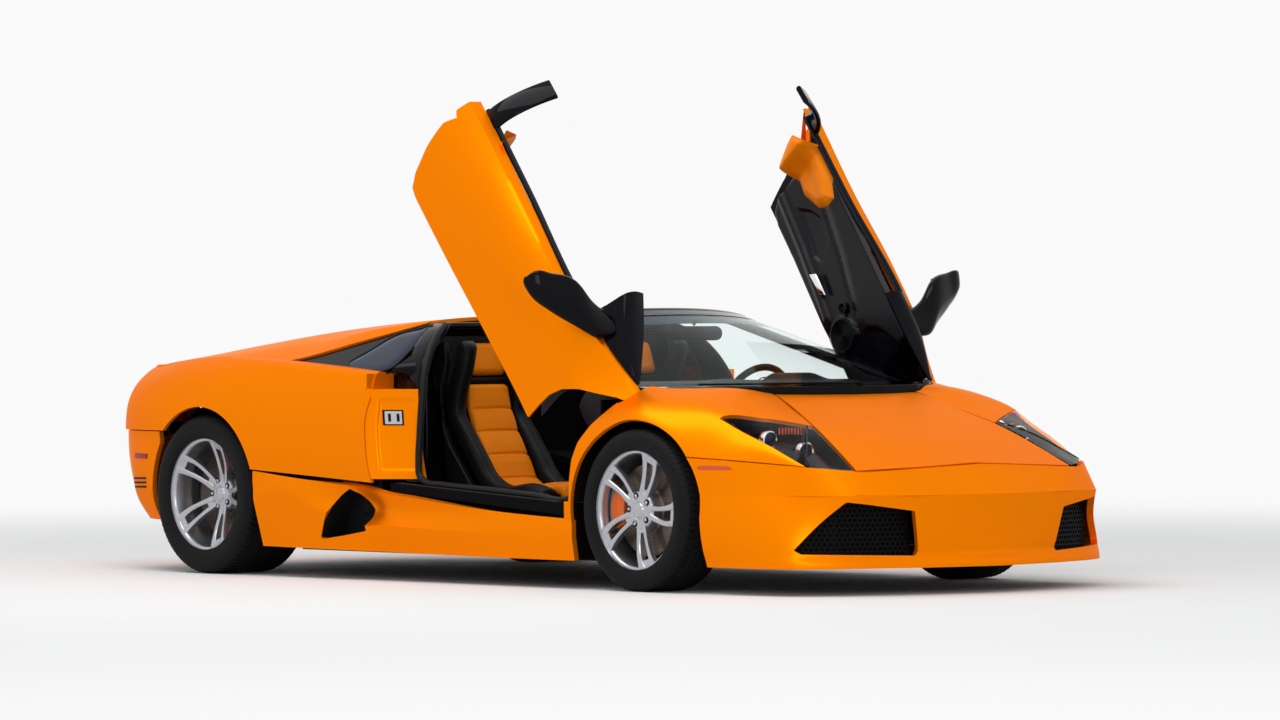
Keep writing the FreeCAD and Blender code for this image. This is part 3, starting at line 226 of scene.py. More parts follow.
def past(axis, place, sign=1):
    """Kept beyond a place on one axis, on its high side or, with sign -1, on its low side."""
    return lambda points: sign * (place - points[:, axis])


def clip(shape, *fields):
    """Keep the part of a triangle mesh where every field is negative, cut at its edges."""
    for field in fields:
        shape = clip_once(shape, field)
    return shape


def clip_once(shape, field):
    points, faces = shape
    value = field(points)
    value[np.abs(value) < SNAP] = -1e-6
    inside = value < 0
    cuts, extra, kept = {}, [], []
    base = len(points)

    def cut(a, b):
        key = (min(a, b), max(a, b))
        if key not in cuts:
            t = value[key[0]] / (value[key[0]] - value[key[1]])
            cuts[key] = base + len(extra)
            extra.append(points[key[0]] * (1 - t) + points[key[1]] * t)
        return cuts[key]

    for face in faces:
        state = [inside[i] for i in face]
        if all(state):
            kept.append(face)
        elif any(state):
            ring = []
            for k, a in enumerate(face):
                b = face[(k + 1) % len(face)]
                if inside[a]:
                    ring.append(a)
                if inside[a] != inside[b]:
                    ring.append(cut(a, b))
            kept += [[ring[0], ring[k], ring[k + 1]] for k in range(1, len(ring) - 1)]
    if extra:
        points = np.concatenate([points, extra])
    used = sorted({i for face in kept for i in face})
    place = {old: new for new, old in enumerate(used)}
    return points[used], [[place[i] for i in face] for face in kept]


# Solid forms

def loft(sections, closed=True, caps=True):
    """Faces between rings of points that have the same count."""
    count = len(sections[0])
    points = np.array(sections, float).reshape(-1, 3)
    faces = []
    last = count if closed else count - 1
    for ring in range(len(sections) - 1):
        for k in range(last):
            a, b = ring * count + k, ring * count + (k + 1) % count
            faces.append([a, b, b + count, a + count])
    if caps:
        faces.append(list(range(count))[::-1])
        faces.append([len(points) - count + k for k in range(count)])
    return points, faces


def prism(outline, axes, low, high):
    """An outline in two of the axes, drawn out along the third."""
    third = 3 - sum(axes)
    rings = []
    for place in (low, high):
        ring = np.zeros((len(outline), 3))
        ring[:, axes[0]] = [corner[0] for corner in outline]
        ring[:, axes[1]] = [corner[1] for corner in outline]
        ring[:, third] = place
        rings.append(ring)
    return loft(rings)


def smooth_line(points, count, closed=False):
    """Evenly spread points on a smooth line through the given ones."""
    points = np.array(points, float)
    if closed:
        points = np.concatenate([points[-2:], points, points[:3]])
    knots = np.concatenate([[0], np.cumsum(np.linalg.norm(np.diff(points, axis=0), axis=1))])
    low, high = (knots[2], knots[-3]) if closed else (knots[0], knots[-1])
    at = np.linspace(low, high, count, endpoint=not closed)
    return spline(knots, points, at)


def sweep(path, section, closed=False, up=(0, 0, 1)):
    """Carry a section of (across, up) points along a path. The section may be a function of the
    share of the path that is passed."""
    path = np.array(path, float)
    if closed:
        ahead = np.roll(path, -1, axis=0) - np.roll(path, 1, axis=0)
    else:
        ahead = np.gradient(path, axis=0)
    ahead /= np.linalg.norm(ahead, axis=1)[:, None]
    rings = []
    for k, (spot, forward) in enumerate(zip(path, ahead)):
        across_way = np.cross(forward, up)
        across_way /= np.linalg.norm(across_way) + 1e-9
        rise = np.cross(across_way, forward)
        shape = section(k / (len(path) - 1)) if callable(section) else section
        rings.append([spot + a * across_way + b * rise for a, b in shape])
    if closed:
        rings.append(rings[0])
    return loft(rings, caps=not closed)


def circle(radius, sides=12, squash=1.0):
    turns = [2 * math.pi * k / sides for k in range(sides)]
    return [(radius * math.cos(t), radius * squash * math.sin(t)) for t in turns]


def tube(path, radius, sides=10, closed=False, up=(0, 0, 1), squash=1.0):
    return sweep(path, circle(radius, sides, squash), closed, up)


def lathe(profile, sides=64):
    """Turn a profile of (radius, place along Y) about the Y axis through the origin."""
    rings = []
    for k in range(sides + 1):
        t = 2 * math.pi * k / sides
        rings.append([(r * math.sin(t), w, r * math.cos(t)) for r, w in profile])
    return loft(rings, closed=False, caps=False)


# Materials

RELIEF_STRENGTH = 0.6


def shader(tree, kind, inputs=(), links=()):
    """Add a shader node, set its inputs and link other nodes' outputs to it."""
    made = tree.nodes.new("ShaderNode" + kind)
    for place, value in dict(inputs).items():
        made.inputs[place].default_value = value
    for output, place in links:
        tree.links.new(output, made.inputs[place])
    return made


def material(name, colour, roughness, metallic=0.0, shift=0.12, scale=120.0, bump=0.0, detail=3.0,
             voronoi=False, uneven=0.06, **sockets):
    """A surface whose colour, gloss and relief vary with a procedural texture."""
    made = bpy.data.materials.new(name)
    made.use_nodes = True
    tree = made.node_tree
    principled = tree.nodes["Principled BSDF"]
    place = shader(tree, "TexCoord").outputs["Object"]
    amounts = {"Scale": scale} if voronoi else {"Scale": scale, "Detail": detail}
    grain = shader(tree, "TexVoronoi" if voronoi else "TexNoise", amounts, [(place, "Vector")]).outputs[0]
    tone = shader(tree, "Mix")
    tone.data_type = "RGBA"
    tone.inputs["A"].default_value = (*[c * (1 - shift) for c in colour], 1)
    tone.inputs["B"].default_value = (*[min(1.0, c * (1 + shift)) for c in colour], 1)
    tree.links.new(grain, tone.inputs["Factor"])
    tree.links.new(tone.outputs["Result"], principled.inputs["Base Color"])
    gloss = shader(tree, "MapRange", {"To Min": max(0.0, roughness - uneven), "To Max": roughness + uneven},
                   [(grain, "Value")])
    tree.links.new(gloss.outputs["Result"], principled.inputs["Roughness"])
    principled.inputs["Metallic"].default_value = metallic
    if bump:
        relief = shader(tree, "Bump", {"Strength": RELIEF_STRENGTH, "Distance": bump * MM},
                        [(grain, "Height")])
        tree.links.new(relief.outputs["Normal"], principled.inputs["Normal"])
    for socket, value in sockets.items():
        principled.inputs[socket.replace("_", " ")].default_value = value
    return made


PAINT = material("pearl_orange_paint", (0.98, 0.228, 0.0), 0.34, metallic=0.6, shift=0.06,
                 scale=1800.0, detail=2.0, uneven=0.03, Coat_Weight=0.02, Coat_Roughness=0.03,
                 Specular_Tint=(1.0, 0.5, 0.02, 1.0), Specular_IOR_Level=0.02)
GLOSS_BLACK = material("gloss_black_plastic", (0.002, 0.002, 0.004), 0.07, scale=40.0, uneven=0.02,
                       Specular_IOR_Level=0.10)
MATT_BLACK = material("moulded_black_plastic", (0.006, 0.006, 0.007), 0.5, scale=900.0, bump=0.25,
                      Specular_IOR_Level=0.06)
RUBBER = material("seal_rubber", (0.008, 0.008, 0.009), 0.42, scale=300.0, bump=0.2,
                  Specular_IOR_Level=0.14)
TYRE = material("tyre_rubber", (0.008, 0.008, 0.009), 0.6, scale=220.0, bump=0.3, shift=0.25,
                Specular_IOR_Level=0.08)
SILVER = material("silver_wheel_lacquer", (0.44, 0.45, 0.48), 0.26, metallic=0.9, shift=0.05,
                  scale=700.0, Coat_Weight=0.4, Coat_Roughness=0.06)
DARK_METAL = material("cast_alloy", (0.18, 0.18, 0.19), 0.45, metallic=0.8, scale=160.0, bump=0.4,
                      shift=0.2)
STEEL = material("brushed_steel", (0.5, 0.5, 0.52), 0.32, metallic=1.0, scale=260.0, shift=0.1)
DISC = material("brake_disc_iron", (0.13, 0.10, 0.08), 0.38, metallic=0.9, scale=180.0, shift=0.25)
CALIPER = material("orange_caliper_lacquer", (0.85, 0.13, 0.005), 0.3, scale=300.0, shift=0.06,
                   Coat_Weight=0.3, Specular_IOR_Level=0.2)
LEATHER = material("black_leather", (0.006, 0.006, 0.007), 0.38, scale=850.0, bump=0.3,
                   voronoi=True, shift=0.2, Specular_IOR_Level=0.12)
DOOR_TRIM = material("black_door_leather", (0.004, 0.004, 0.006), 0.24, scale=850.0, bump=0.12,
                     voronoi=True, shift=0.15, Specular_IOR_Level=0.16)
ORANGE_LEATHER = material("orange_leather", (1.0, 0.25, 0.004), 0.42, scale=850.0, bump=0.35,
                          voronoi=True, shift=0.08, Specular_IOR_Level=0.10)
CARPET = material("black_carpet", (0.005, 0.005, 0.006), 0.9, scale=1400.0, bump=0.8, shift=0.5,
                  Specular_IOR_Level=0.03)
MESH = material("black_honeycomb", (0.005, 0.005, 0.006), 0.32, scale=500.0, shift=0.3,
                Specular_IOR_Level=0.12)
GLASS = material("tinted_screen_glass", (0.84, 0.94, 0.92), 0.02, scale=30.0, shift=0.02,
                 uneven=0.005, Transmission_Weight=1.0, IOR=1.05)
DARK_GLASS = material("dark_blue_glass", (0.003, 0.010, 0.034), 0.05, scale=30.0, uneven=0.01,
                      Specular_IOR_Level=0.18)
LENS = material("clear_lamp_cover", (0.97, 0.98, 1.0), 0.02, scale=40.0, shift=0.02, uneven=0.005,
                Transmission_Weight=1.0, IOR=1.07)
CHROME = material("bright_metal", (0.82, 0.83, 0.85), 0.08, metallic=1.0, scale=90.0, shift=0.04,
                  uneven=0.03)
RED_LENS = material("red_lamp_lens", (0.36, 0.004, 0.004), 0.12, scale=350.0, bump=0.3, shift=0.2,
                    Specular_IOR_Level=0.15)
AMBER = material("amber_lens", (0.62, 0.07, 0.002), 0.15, scale=400.0, bump=0.3, shift=0.15,
                 Coat_Weight=0.2)


# Points closer than MERGE are one, and edges shorter than SLIVER go.
MERGE, SLIVER = 0.02, 0.01


def piece(name, shape, surface, body, slot, nodes=(), thickness=0.0, bevel=0.0, round_off=0,
          edge=38.0, outward=True, padded=False):
    """Make an object of a shape in millimetres, finish its mesh and tie it to its body."""
    points, faces = shape
    mesh = bpy.data.meshes.new(name)
    mesh.from_pydata([tuple(point) for point in np.asarray(points) * MM], [], faces)
    built = bmesh.new()
    built.from_mesh(mesh)
    bmesh.ops.remove_doubles(built, verts=built.verts, dist=MERGE * MM)
    bmesh.ops.dissolve_degenerate(built, edges=built.edges, dist=SLIVER * MM)
    if outward:
        bmesh.ops.recalc_face_normals(built, faces=built.faces)
    built.to_mesh(mesh)
    built.free()
    made = bpy.data.objects.new(name, mesh)
    bpy.context.collection.objects.link(made)
    mesh.materials.append(surface)
    if thickness:
        shell = made.modifiers.new("shell", "SOLIDIFY")
        shell.thickness = thickness * MM
        shell.offset = -1.0
    if bevel:
        chamfer = made.modifiers.new("chamfer", "BEVEL")
        chamfer.width = bevel * MM
        chamfer.segments = 2
        chamfer.limit_method = "ANGLE"
        chamfer.angle_limit = math.radians(edge)
    if round_off:
        subdivide = made.modifiers.new("round_off", "SUBSURF")
        subdivide.levels = round_off
        subdivide.render_levels = round_off
    if made.modifiers:
        shaped = bpy.data.meshes.new_from_object(
            made.evaluated_get(bpy.context.evaluated_depsgraph_get()))
        made.modifiers.clear()
        made.data = shaped
    made.data.shade_smooth()
    made.data.set_sharp_from_angle(angle=math.radians(edge))
    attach(made, body)
    if nodes:
        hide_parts(*nodes)


def on_sides(parts, drawn=1):
    """Make parts for the left side and then for the right, with the side's name in place of {}.
    They are drawn on the left or, with drawn -1, on the right."""
    for side, sign in SIDES:
        for name, shape, surface, body, slot, nodes, finish in parts:
            piece(name.format(side), shape if sign == drawn else mirrored(shape), surface,
                  body.format(side), slot, [node.format(side) for node in nodes], **finish)


def faced(shape, middle):
    """Turn an open skin's faces so that they look away from a point."""
    points, faces = shape
    total = 0.0
    for face in faces[::7]:
        a, b, c = points[face[0]], points[face[1]], points[face[2]]
        total += np.dot(np.cross(b - a, c - a), (a + b + c) / 3 - middle)
    return shape if total > 0 else (points, [face[::-1] for face in faces])


CAR_MIDDLE = (0.0, 0.0, 300.0)


def panel(name, shape, body, node, surface=PAINT, slot="orange_paint", thickness=PANEL,
          middle=CAR_MIDDLE):
    """A body panel: an open skin thickened inwards."""
    piece(name, faced(shape, middle), surface, body, slot, [node], thickness=thickness,
          outward=False)


def side_panels(name, shape, body, node, thickness=PANEL, middle=CAR_MIDDLE):
    """A panel drawn on the left, on both sides."""
    on_sides([(name, faced(shape, middle), PAINT, body, "orange_paint", [node],
               {"thickness": thickness, "outward": False})])


# Body panels. Each table's columns are a station and then the two other coordinates of every rail.

# x, then y and z at the centre and the side shut line
BONNET_ROWS = [
    (2230, 0, 467, 596, 405), (2107, 0, 519, 565, 471), (1935, 0, 590, 522, 560),
    (1770, 0, 650, 477, 636), (1690, 0, 678, 450, 665), (1440, 0, 757, 379, 752),
    (1390, 0, 766, 366, 763),
]
# x, then y and z at the bonnet line, crown, shoulder, upper side, widest and sill
FENDER_ROWS = [
    (2110, 571, 469, 640, 462, 690, 455, 700, 430, 705, 400, 706, 300),
    (2006, 545, 523, 640, 508, 716, 488, 735, 440, 750, 387, 790, 172),
    (1800, 491, 625, 640, 612, 752, 582, 800, 511, 825, 387, 872, 190),
    (1680, 452, 668, 630, 664, 770, 630, 850, 516, 872, 387, 893, 226),
    (1579, 423, 703, 620, 705, 789, 672, 885, 520, 900, 400, 905, 270),
    (1400, 374, 763, 610, 769, 806, 722, 905, 640, 935, 540, 938, 300),
    (1235, 345, 778, 600, 784, 800, 757, 905, 705, 948, 620, 950, 380),
    (1092, 560, 784, 660, 787, 773, 787, 890, 712, 945, 600, 948, 290),
    (943, 740, 788, 765, 789, 790, 790, 872, 715, 935, 590, 944, 200),
    (840, 740, 789, 770, 790, 802, 792, 882, 718, 932, 585, 944, 112),
]
COWL_LINE = [(1075, 775), (1180, 700), (1300, 570), (1414, 410), (1450, 200), (1462, 0)]
COWL_OUTLINE = COWL_LINE + [(x, -y) for x, y in COWL_LINE[-2::-1]] + [(600, -830), (600, 830)]
LAMP_OUTLINE = [(2140, 571), (2040, 735), (2006, 716), (1790, 757), (1579, 789), (1768, 482)]
NOSE_SHUT_LINE = [(0, 494), (565, 471), (716, 488), (850, 513), (915, 524), (1100, 530)]
NOSE_SHUT_END_X = 1500.0
FRONT_ARCH_Z, FRONT_ARCH_R = 310.0, 354.0
REAR_ARCH_Z, REAR_ARCH_R = 325.0, 366.0
BELOW_FRONT_ARCH = [(903, 0), (884, 300), (1588, 300), (1625, 0)]
BELOW_REAR_ARCH = [(-1752, 0), (-1735, 215), (-1790, 325), (-1064, 325), (-1025, 133), (-1015, 0)]
FRONT_ARCH = [clear_of_circle(FRONT_AXLE_X, FRONT_ARCH_Z, FRONT_ARCH_R), beyond(BELOW_FRONT_ARCH, XZ)]
REAR_ARCH = [clear_of_circle(REAR_AXLE_X, REAR_ARCH_Z, REAR_ARCH_R), beyond(BELOW_REAR_ARCH, XZ)]
HINGE_HOLE_R = 49.0
# z, then x and y of seven plan points from the centre to the wheel arch
NOSE_LEVELS = [
    (104, 2303, 0, 2262, 260, 2228, 400, 2110, 690, 1981, 828, 1750, 876, 1560, 884),
    (128, 2301, 0, 2260, 260, 2226, 400, 2108, 690, 1980, 829, 1750, 878, 1560, 890),
    (150, 2279, 0, 2246, 260, 2206, 420, 2092, 690, 1976, 829, 1750, 881, 1560, 897),
    (190, 2278, 0, 2252, 260, 2212, 425, 2092, 690, 1972, 825, 1750, 884, 1560, 904),
    (380, 2305, 0, 2282, 250, 2226, 500, 2145, 663, 1900, 795, 1750, 850, 1560, 900),
    (530, 2160, 0, 2143, 250, 2097, 565, 1996, 712, 1850, 776, 1680, 850, 1500, 915),
]
NOSE_CREASE = 4
NOSE_MIDDLE = (1600.0, 0.0, 300.0)
INTAKE_OUTLINE = [(391, 320), (655, 357), (800, 176), (780, 160), (370, 150), (358, 165)]
DOOR_OUTLINE = [
    (1116, 860), (1113, 775), (1102, 748), (1080, 737), (1024, 693), (964, 647), (906, 575),
    (878, 504), (869, 428), (865, 345), (-215, 401), (-256, 412), (-290, 470), (-322, 582),
    (-347, 751), (-346, 812), (-340, 870),
]
SHUT_EDGE_Y, SHUT_EDGE_R, SHUT_SLOPE, SHUT_SHELF_Z = 976.0, 1422.0, 1.25, 780.0
# x, then y and z at the belt, crest, shoulder, upper side, crease and lower edge
DOOR_ROWS = [
    (-400, 862, 842, 918, 842, 954, 772, 985, 650, 992, 505, 986, 350),
    (-300, 860, 840, 915, 838, 952, 770, 984, 650, 990, 508, 985, 350),
    (100, 857, 822, 906, 815, 948, 764, 976, 660, 980, 545, 972, 340),
    (500, 861, 813, 905, 805, 938, 756, 960, 670, 955, 578, 952, 328),
    (800, 835, 803, 872, 797, 905, 740, 930, 670, 940, 588, 938, 320),
    (943, 800, 797, 830, 792, 872, 728, 925, 650, 935, 590, 942, 320),
    (1125, 775, 791, 790, 788, 880, 712, 935, 640, 943, 600, 946, 320),
]
# x, then y and z at the top, the channel, the ledge and the bottom
SKIRT_ROWS = [
    (990, 945, 270, 950, 235, 952, 200, 944, 112),
    (300, 956, 303, 957, 262, 966, 212, 950, 113),
    (-100, 964, 338, 950, 275, 980, 220, 958, 116),
    (-263, 968, 352, 945, 280, 986, 225, 962, 118),
    (-420, 992, 384, 925, 290, 994, 225, 975, 119),
    (-480, 998, 390, 960, 300, 1004, 240, 985, 120),
    (-700, 1012, 414, 1014, 350, 1018, 300, 1000, 122),
    (-1070, 1020, 434, 1021, 350, 1022, 300, 1000, 125),
]
SKIRT_TOP_LIMIT = [(990, 100), (990, 270), (-176, 344), (-263, 352), (-480, 381), (-1067, 431),
                   (-1200, 434), (-1200, 100)]
SCOOP_OUTLINE = [(-472, 366), (-520, 345), (-568, 300), (-608, 236), (-640, 160), (-500, 178),
                 (-362, 200), (-372, 250), (-395, 300), (-432, 346)]
SKIRT_FRONT_X = 896
SKIRT_SHUT_LINE = [(-1200, 440), (-1067, 437), (-319, 395), (-176, 364), (-176, 60), (-1200, 60)]
# x, then y and z at the deck line, crest, shoulder, upper side, widest and lower side
QUARTER_ROWS = [
    (-250, 893, 830, 917, 835, 953, 770, 984, 650, 991, 520, 985, 365),
    (-700, 884, 866, 925, 862, 968, 800, 1000, 680, 1006, 560, 1000, 395),
    (-1000, 882, 884, 925, 880, 975, 815, 1012, 700, 1021, 600, 1018, 400),
    (-1430, 875, 895, 888, 893, 970, 835, 1020, 730, 1029, 640, 1027, 330),
    (-1750, 836, 881, 850, 879, 935, 825, 995, 720, 1012, 640, 1003, 330),
    (-2000, 785, 856, 803, 850, 880, 795, 940, 710, 955, 630, 940, 330),
    (-2085, 767, 848, 780, 842, 850, 790, 903, 710, 918, 630, 905, 330),
]
# x, then y and z at the centre, cover edge, crease and outer edge
DECK_ROWS = [
    (-420, 0, 1062, 430, 1056, 606, 1042, 614, 1036), (-700, 0, 1050, 430, 1040, 672, 1008, 748, 960),
    (-997, 0, 1030, 430, 1018, 688, 962, 874, 884), (-1430, 0, 992, 430, 980, 690, 930, 868, 896),
    (-1790, 0, 945, 430, 935, 650, 905, 828, 880), (-2085, 0, 893, 430, 887, 622, 870, 761, 850),
    (-2262, 0, 866, 430, 862, 560, 856, 640, 842),
]
COVER_OUTLINE = [(-560, -430), (-560, 430), (-2150, 430), (-2150, -430)]
# z, then x and y of six plan points from the centre to the wheel arch
TAIL_LEVELS = [
    (215, -2190, 0, -2182, 300, -2150, 600, -2080, 752, -1960, 885, -1730, 975),
    (300, -2240, 0, -2235, 300, -2210, 600, -2140, 768, -1990, 925, -1730, 1000),
    (400, -2290, 0, -2284, 300, -2260, 620, -2190, 780, -2000, 940, -1730, 1003),
    (560, -2305, 0, -2298, 300, -2275, 650, -2215, 790, -2020, 938, -1730, 1004),
    (670, -2300, 0, -2295, 300, -2280, 650, -2215, 780, -2020, 933, -1740, 1004),
    (860, -2262, 0, -2262, 300, -2240, 560, -2170, 680, -2000, 790, -1800, 822),
]
TAIL_SHUT_Z = 590.0
TAIL_SHUT_FRONT_X = -1560
TAIL_FACE_X = -2088
TAIL_MIDDLE = (-1700.0, 0.0, 700.0)
BACKING_Z = (TAIL_SHUT_Z - 26, TAIL_SHUT_Z + 22)
BACKING_INSET = (0.985, 0.965, 1.0)
EXHAUST_Z, EXHAUST_HOLE_R = 400.0, 70.0
LAMP_WINDOW = [(470, 640), (735, 650), (700, 790), (500, 800)]
MESH_WINDOW = [(-400, 640), (400, 640), (370, 800), (-370, 800)]


def flipped(outline):
    return [(-y, z) for y, z in outline]


def nose_side(above):
    """Which side of the shut line between nose and wings a point ahead of the wheel lies on."""
    line = np.array(flipped(NOSE_SHUT_LINE[:0:-1]) + NOSE_SHUT_LINE)

    def field(points):
        height = np.interp(points[:, 1], line[:, 0], line[:, 1])
        lift = (points[:, 2] - height) * (1 if above else -1)
        behind = NOSE_SHUT_END_X - points[:, 0]
        keep = GAP / 2 - lift
        return np.minimum(keep, -behind) if above else np.maximum(keep, behind)
    return field


def from_hinge(points):
    return np.hypot(points[:, 0] - HINGE_X, points[:, 2] - HINGE_Z)


def shut_reach(y):
    return SHUT_EDGE_R + SHUT_SLOPE * (y - SHUT_EDGE_Y)


def door_cone(gap):
    """The shut face between door and rear wing: a cone about the hinge axis below a shelf."""
    tilt = math.hypot(1, SHUT_SLOPE)

    def field(points):
        reach = from_hinge(points)
        cone = (reach - SHUT_EDGE_R - SHUT_SLOPE * (points[:, 1] - SHUT_EDGE_Y)) / tilt
        return np.where(points[:, 2] < SHUT_SHELF_Z - gap, cone, reach - SHUT_EDGE_R) - gap
    return field


def bonnet():
    rows = []
    for x, _, z0, y1, z1 in BONNET_ROWS:
        y1 -= GAP
        rows.append((x, 0, z0, y1 / 2, z0 - (z0 - z1) / 4, y1, z1))
    shape = clip(skin(rows, symmetric=True), nose_side(True), beyond(COWL_OUTLINE, XY, GAP))
    panel("skin_bonnet", shape, "bonnet", "bonnet")


def fender_skin():
    return skin(FENDER_ROWS, pitch=11.0)


def front_wings():
    shape = clip(fender_skin(), nose_side(True), beyond(COWL_OUTLINE, XY),
                 beyond(LAMP_OUTLINE, XY, 3.0), *FRONT_ARCH, beyond(DOOR_OUTLINE, XZ, GAP),
                 clear_of_circle(HINGE_X, HINGE_Z, HINGE_HOLE_R))
    side_panels("skin_front_wing_{}", shape, "body", "front_wing_{}")


def front_bumper():
    halves = [skin(levels, along=2, blur=1, pitch=9.0, symmetric=True)
              for levels in (NOSE_LEVELS[:NOSE_CREASE + 1], NOSE_LEVELS[NOSE_CREASE:])]
    shape = clip(joined(*halves), nose_side(False), beyond(INTAKE_OUTLINE, YZ),
                 beyond(flipped(INTAKE_OUTLINE), YZ), *FRONT_ARCH)
    panel("skin_front_bumper", shape, "body", "front_bumper", thickness=26.0, middle=NOSE_MIDDLE)


def skirt_skin():
    return skin(SKIRT_ROWS, sharp=[2], pitch=10.0)


def side_skirts():
    shape = clip(skirt_skin(), within(SKIRT_TOP_LIMIT, XZ), *REAR_ARCH[::-1], *FRONT_ARCH,
                 beyond(SCOOP_OUTLINE, XZ), past(0, SKIRT_FRONT_X, -1))
    panel("skin_side_skirts", both(faced(shape, (0.0, 0.0, 250.0))), "body", "side_skirts",
          thickness=22.0)


def quarter_skin():
    return clip(skin(QUARTER_ROWS, pitch=12.0), opposite(door_cone(GAP)), beyond(DOOR_OUTLINE, XZ, GAP),
                beyond(SKIRT_SHUT_LINE, XZ),
                lambda points: np.minimum(TAIL_SHUT_Z - points[:, 2], TAIL_SHUT_FRONT_X - points[:, 0]),
                *REAR_ARCH)


def deck_skin():
    return skin(DECK_ROWS, sharp=[2], symmetric=True)


def rear_body():
    side_panels("skin_rear_wing_{}", quarter_skin(), "body", "rear_wing_{}")
    middle = (-1300.0, 0.0, 300.0)
    shape = clip(deck_skin(), beyond(COVER_OUTLINE, XY))
    panel("skin_rear_deck", shape, "body", "rear_deck", middle=middle)
    cover = clip(deck_skin(), within(COVER_OUTLINE, XY, -GAP), *louvre_windows())
    panel("skin_engine_cover", cover, "engine_cover", "engine_cover", middle=middle)


def tail():
    levels = skin(TAIL_LEVELS, along=2, blur=2, pitch=11.0, symmetric=True)
    low = clip(levels, past(2, TAIL_SHUT_Z - GAP, -1),
               lambda points: EXHAUST_HOLE_R - np.hypot(points[:, 1], points[:, 2] - EXHAUST_Z),
               *REAR_ARCH)
    panel("skin_rear_bumper", low, "body", "rear_bumper", middle=(-1700.0, 0.0, 450.0),
          thickness=20.0)
    high = clip(levels, past(2, TAIL_SHUT_Z), past(0, TAIL_FACE_X, -1), beyond(LAMP_WINDOW, YZ),
                beyond(flipped(LAMP_WINDOW), YZ), beyond(MESH_WINDOW, YZ))
    backing = clip(levels, past(2, BACKING_Z[0]), past(2, BACKING_Z[1], -1),
                   clear_of_circle(REAR_AXLE_X, REAR_ARCH_Z, REAR_ARCH_R - 8))
    piece("tail_shut_backing", (backing[0] * BACKING_INSET, backing[1]), MATT_BLACK, "body",
          "black_plastic", thickness=3.0)
    panel("skin_tail_panel", high, "body", "tail_panel", middle=TAIL_MIDDLE, thickness=20.0)


def door_shells():
    side_panels("skin_door_{}", opened(door_skin()), DOOR, "door_shell_{}", thickness=8.0,
                middle=(500.0, 0.0, 1200.0))


# Wheels, drawn on the car's left about the Y axis through the origin

# end of the car, middle's x and y, radius, width, height of the hub's face and turn of the spokes
WHEELS = (
    ("front", FRONT_AXLE_X, FRONT_TRACK_Y, FRONT_R, 245.0, 93.0, 22.0),
    ("rear", REAR_AXLE_X, REAR_TRACK_Y, REAR_R, 335.0, 71.0, 18.0),
)
BEAD_R, FLANGE_R, BARREL_R = 229.0, 247.0, 216.0
SPOKE_PAIRS = 5
# radius, offset of each bar from the middle, shared bend, half width and depth
SPOKE_STATIONS = [(46, 12, 0, 14, 16), (90, 19, 5, 11, 24), (130, 25, 8, 10, 28),
                  (170, 30, 6, 11, 26), (202, 32, -1, 14, 22), (224, 34, -10, 19, 18)]
SPOKE_CURVE = 1.25
SPOKE_WEBS = ((44, 88), (196, 226))
LUG_CIRCLE_R = 57.0
DISC_R, DISC_IN, DISC_OUT = 178.0, 8.0, 36.0
HOLE_CIRCLES, HOLES, HOLE_R = (108, 124, 140, 156, 170), 24, 2.6
HUB_FACE = 44.0
CALIPER_IN_R, CALIPER_OUT_R, CALIPER_SPREAD = 121.5, 206.5, math.radians(24.5)
TREAD_PITCHES, TREAD_STEPS = 76, 6
# depths of the long grooves, of the cuts between blocks and of the side wall's notches, then the
# share of a pitch that is cut away, and how many pitches the cuts lean over half the width
GROOVE, BLOCK_CUT, NOTCH, CUT_SHARE, SLANT = 6.5, 4.5, 2.2, 0.3, 2.2


def tyre_shape(radius, width):
    """Tread blocks with grooves round and across, and a side wall with a raised band."""
    half = width / 2
    outline = [(BEAD_R + 1, half - 16), (BEAD_R + 6, half - 9), (BEAD_R + 14, half - 7),
               (BEAD_R + 17, half - 4), (BEAD_R + 24, half - 2.5), (radius - 40, half - 0.5),
               (radius - 26, half - 3), (radius - 15, half - 9), (radius - 7, half - 17)]
    ribs = [half - 26, half - 52, half - 60, half * 0.27, half * 0.27 - 8, 4.5]
    tread = [(radius - 1.2 * (w / half)**4 * 2, w) for w in ribs]
    outline.append(tread[0])
    for (r, w), (next_r, next_w) in (tread[1:3], tread[3:5]):
        outline += [(r, w), (r - GROOVE, w - 1.5), (next_r - GROOVE, next_w + 1.5), (next_r, next_w)]
    r, w = tread[5]
    outline += [(r, w), (r - GROOVE, w - 1.5)]
    outline += [(r, -w) for r, w in outline[::-1]]
    count = TREAD_PITCHES * TREAD_STEPS
    rings = []
    for step in range(count):
        angle = step / count * 2 * math.pi
        ring = []
        for r, w in outline:
            phase = (step / TREAD_STEPS + SLANT * abs(w) / half * math.copysign(1.0, w)) % 1.0
            shoulder = abs(w) > half - 62 and r > radius - 20
            cut = BLOCK_CUT if shoulder and phase < CUT_SHARE else 0.0
            if radius - 28 < r < radius - 6 and phase < CUT_SHARE:
                cut = NOTCH
            ring.append(((r - cut) * math.sin(angle), w, (r - cut) * math.cos(angle)))
        rings.append(ring)
    rings.append(rings[0])
    return loft(rings, closed=False, caps=False)


